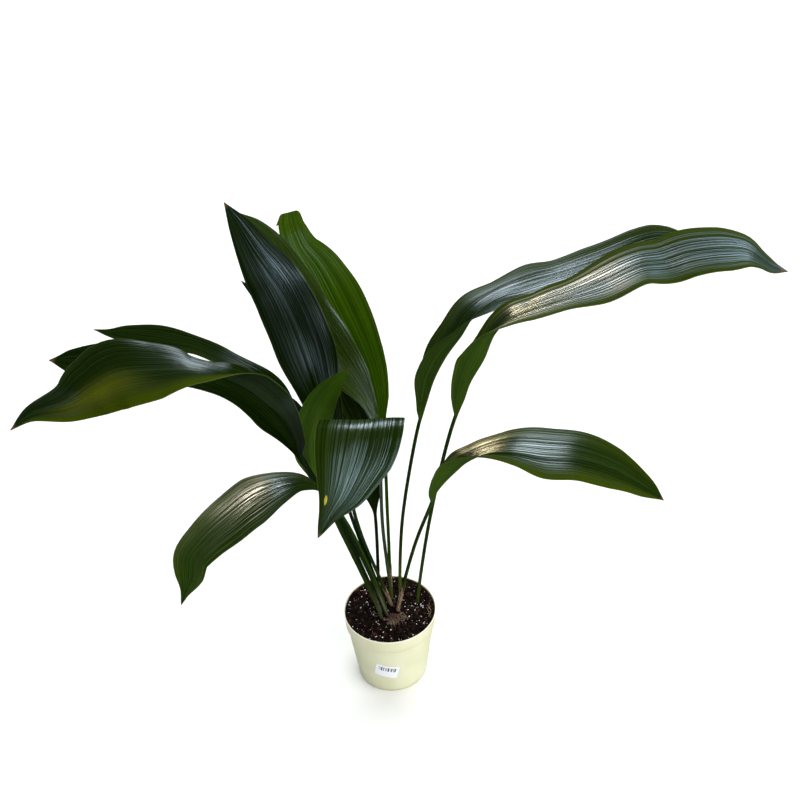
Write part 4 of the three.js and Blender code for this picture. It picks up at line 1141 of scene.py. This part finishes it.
def make_lights():
    soft_sun("back_sky", (0.1, 0.75, 0.6), 90, 3.4, (0.95, 0.98, 1.0))
    soft_sun("front_sky", (0.66, -0.55, 0.58), 60, 2.5, (1.0, 0.99, 0.97))
    soft_sun("top_sky", (0, 0, 1), 170, 1.0, (0.97, 0.99, 1.0))
    both, right = ("right_front", "right_back"), ("right_front",)
    low, far, bent, back = ("low_right",), ("far_left",), ("low_left",), ("back_left",)
    tall, second, behind, folded = ("tall_front",), ("tall_middle",), ("tall_back",), ("folded_front",)
    bundle = ("under_left", "back_left", "far_left")
    sky, bluer = (0.74, 0.88, 1.0), (0.62, 0.84, 1.0)
    cream, pale_cream = (1.0, 0.84, 0.52), (1.0, 0.90, 0.72)
    panel("back_window", both, (0.3, -0.05, 0.72), (-0.33, 0.62, 0.71), 4, (2.4, 2.2), 31, sky)
    panel("over_window", both, (0.4, -0.1, 0.77), (0.25, 0.33, 0.91), 4, (3.2, 1.8), 14, bluer)
    panel("warm_window", right, (0.2, -0.08, 0.72), (-0.42, 0.75, 0.50), 4, (0.9, 0.5), 430, cream)
    panel("tip_window", right, (0.5, -0.1, 0.77), (0.66, 0.42, 0.62), 4, (2.6, 2.4), 24, bluer)
    panel("low_warm_glow", low, (0.12, -0.06, 0.48), (-0.32, 0.50, 0.80), 0.16, (0.08, 0.10), 330, cream)
    panel("low_blue_glow", low, (0.2, -0.07, 0.49), (0.2, -0.1, 0.98), 0.15, (0.22, 0.11), 25, sky)
    panel("crest_window", far, (-0.25, -0.12, 0.66), (0.12, 0.95, 0.25), 4, (0.9, 0.3), 85, sky)
    panel("bend_glow", bent, (-0.2, -0.115, 0.445), (-0.22, -0.89, 0.40), 0.5, (0.09, 0.09), 700, pale_cream)
    panel("neck_glow", bent, (-0.15, -0.1, 0.46), (0.40, -0.70, 0.58), 0.5, (0.22, 0.22), 150, sky)
    panel("left_window", tall, (-0.1, 0.05, 0.65), (-0.72, -0.67, -0.12), 2, (1.1, 0.8), 19, bluer)
    panel("low_front_window", tall, (-0.08, 0.03, 0.5), (-0.05, -1.0, 0.0), 2, (0.5, 0.6), 27, bluer)
    panel("pale_window", second, (-0.1, 0.08, 0.65), (-0.10, -0.93, -0.20), 2, (2.4, 1.8), 19, sky)
    panel("front_window", folded, (-0.03, -0.19, 0.52), (0.60, -0.76, 0.25), 1.2, (1.0, 1.5), 5.5, bluer)
    panel("low_fold_window", folded, (-0.04, -0.19, 0.51), (0.39, -0.87, -0.31), 0.8, (0.6, 0.5), 6, bluer)
    panel("fold_glow", folded, (0.0, -0.14, 0.587), (-0.08, 0.78, 0.62), 0.12, (0.14, 0.07), 13, sky)
    panel("back_left_glow", back, (-0.175, 0.024, 0.59), (0.66, 0.60, 0.44), 0.14, (0.10, 0.06), 30, sky)
    panel("back_right_window", behind, (-0.11, 0.19, 0.70), (0.70, -0.45, 0.55), 1, (0.5, 0.4), 12, sky)
    panel("stalk_glow", bundle, (0.0, -0.03, 0.25), (-0.45, -0.80, 0.40), 0.5, (0.12, 0.30), 30, sky)
    world = bpy.data.worlds.new("studio")
    world.use_nodes = True
    background = world.node_tree.nodes["Background"]
    background.inputs["Color"].default_value = rgb(0.80, 0.90, 1.0)
    background.inputs["Strength"].default_value = 0.07
    bpy.context.scene.world = world
    bpy.context.scene.view_settings.view_transform = "Standard"


# The camera stands in front of the plant and above it, tilted down and turned a little.
CAMERA = {
    "place": (0.031, -1.021, 1.168), "pitch": 31.8, "roll": -2.4,
    "focal_pixels": 858, "frame_pixels": 800,
}


def make_camera():
    pitch, roll = math.radians(CAMERA["pitch"]), math.radians(CAMERA["roll"])
    look = Vector((0, math.cos(pitch), -math.sin(pitch)))
    level_up = Vector((0, math.sin(pitch), math.cos(pitch)))
    right = Vector((math.cos(roll), 0, 0)) + math.sin(roll) * level_up
    up = Vector((-math.sin(roll), 0, 0)) + math.cos(roll) * level_up
    data = bpy.data.cameras.new("camera")
    data.lens = data.sensor_width * CAMERA["focal_pixels"] / CAMERA["frame_pixels"]
    camera = bpy.data.objects.new("camera", data)
    turn = Matrix((right, up, -look)).transposed().to_4x4()
    camera.matrix_world = Matrix.Translation(CAMERA["place"]) @ turn
    bpy.context.scene.collection.objects.link(camera)
    bpy.context.scene.camera = camera


EARTH = earth_material("peat_dark", (0.003, 0.002, 0.002), (0.014, 0.008, 0.006), 140)
BROWN = earth_material("peat_brown", (0.010, 0.005, 0.003), (0.060, 0.026, 0.015), 120)
RED_BARK = earth_material("bark_red", (0.020, 0.008, 0.005), (0.085, 0.028, 0.016), 200)
ROOTSTOCK = earth_material("rootstock_skin", (0.030, 0.014, 0.009), (0.19, 0.11, 0.08), 420, 0.7)
ROOT_HAIR = fibre_material("root_hair", (0.14, 0.09, 0.06), (0.42, 0.33, 0.25))
DRY_SHEATH = fibre_material("dry_sheath", (0.07, 0.040, 0.020), (0.42, 0.30, 0.20))
PERLITE = mottled_material(
    "perlite_white", 300, (0.45, 0.75), (0.93, 0.92, 0.90), (0.60, 0.52, 0.45), 0.75, relief=(1400, 0.0003))
PAPER = mottled_material(
    "label_paper", 700, (0.3, 0.7), (0.86, 0.88, 0.92), (0.90, 0.91, 0.94), 0.42, relief=(700, 0.00003))
INK = mottled_material("label_ink", 900, (0.35, 0.7), (0.03, 0.035, 0.05), (0.09, 0.10, 0.13), 0.5, detail=2)

make_camera()
make_pot()
make_soil()
make_crumbs()
make_label()
make_rhizome()
for index, (name, leaf) in enumerate(LEAVES.items()):
    make_leaf(name, leaf, SEEDS["leaves"] + index)
    if name in SHEATHS:
        make_sheath(name, leaf, SEEDS["sheaths"] + index)
make_floor()
make_lights()
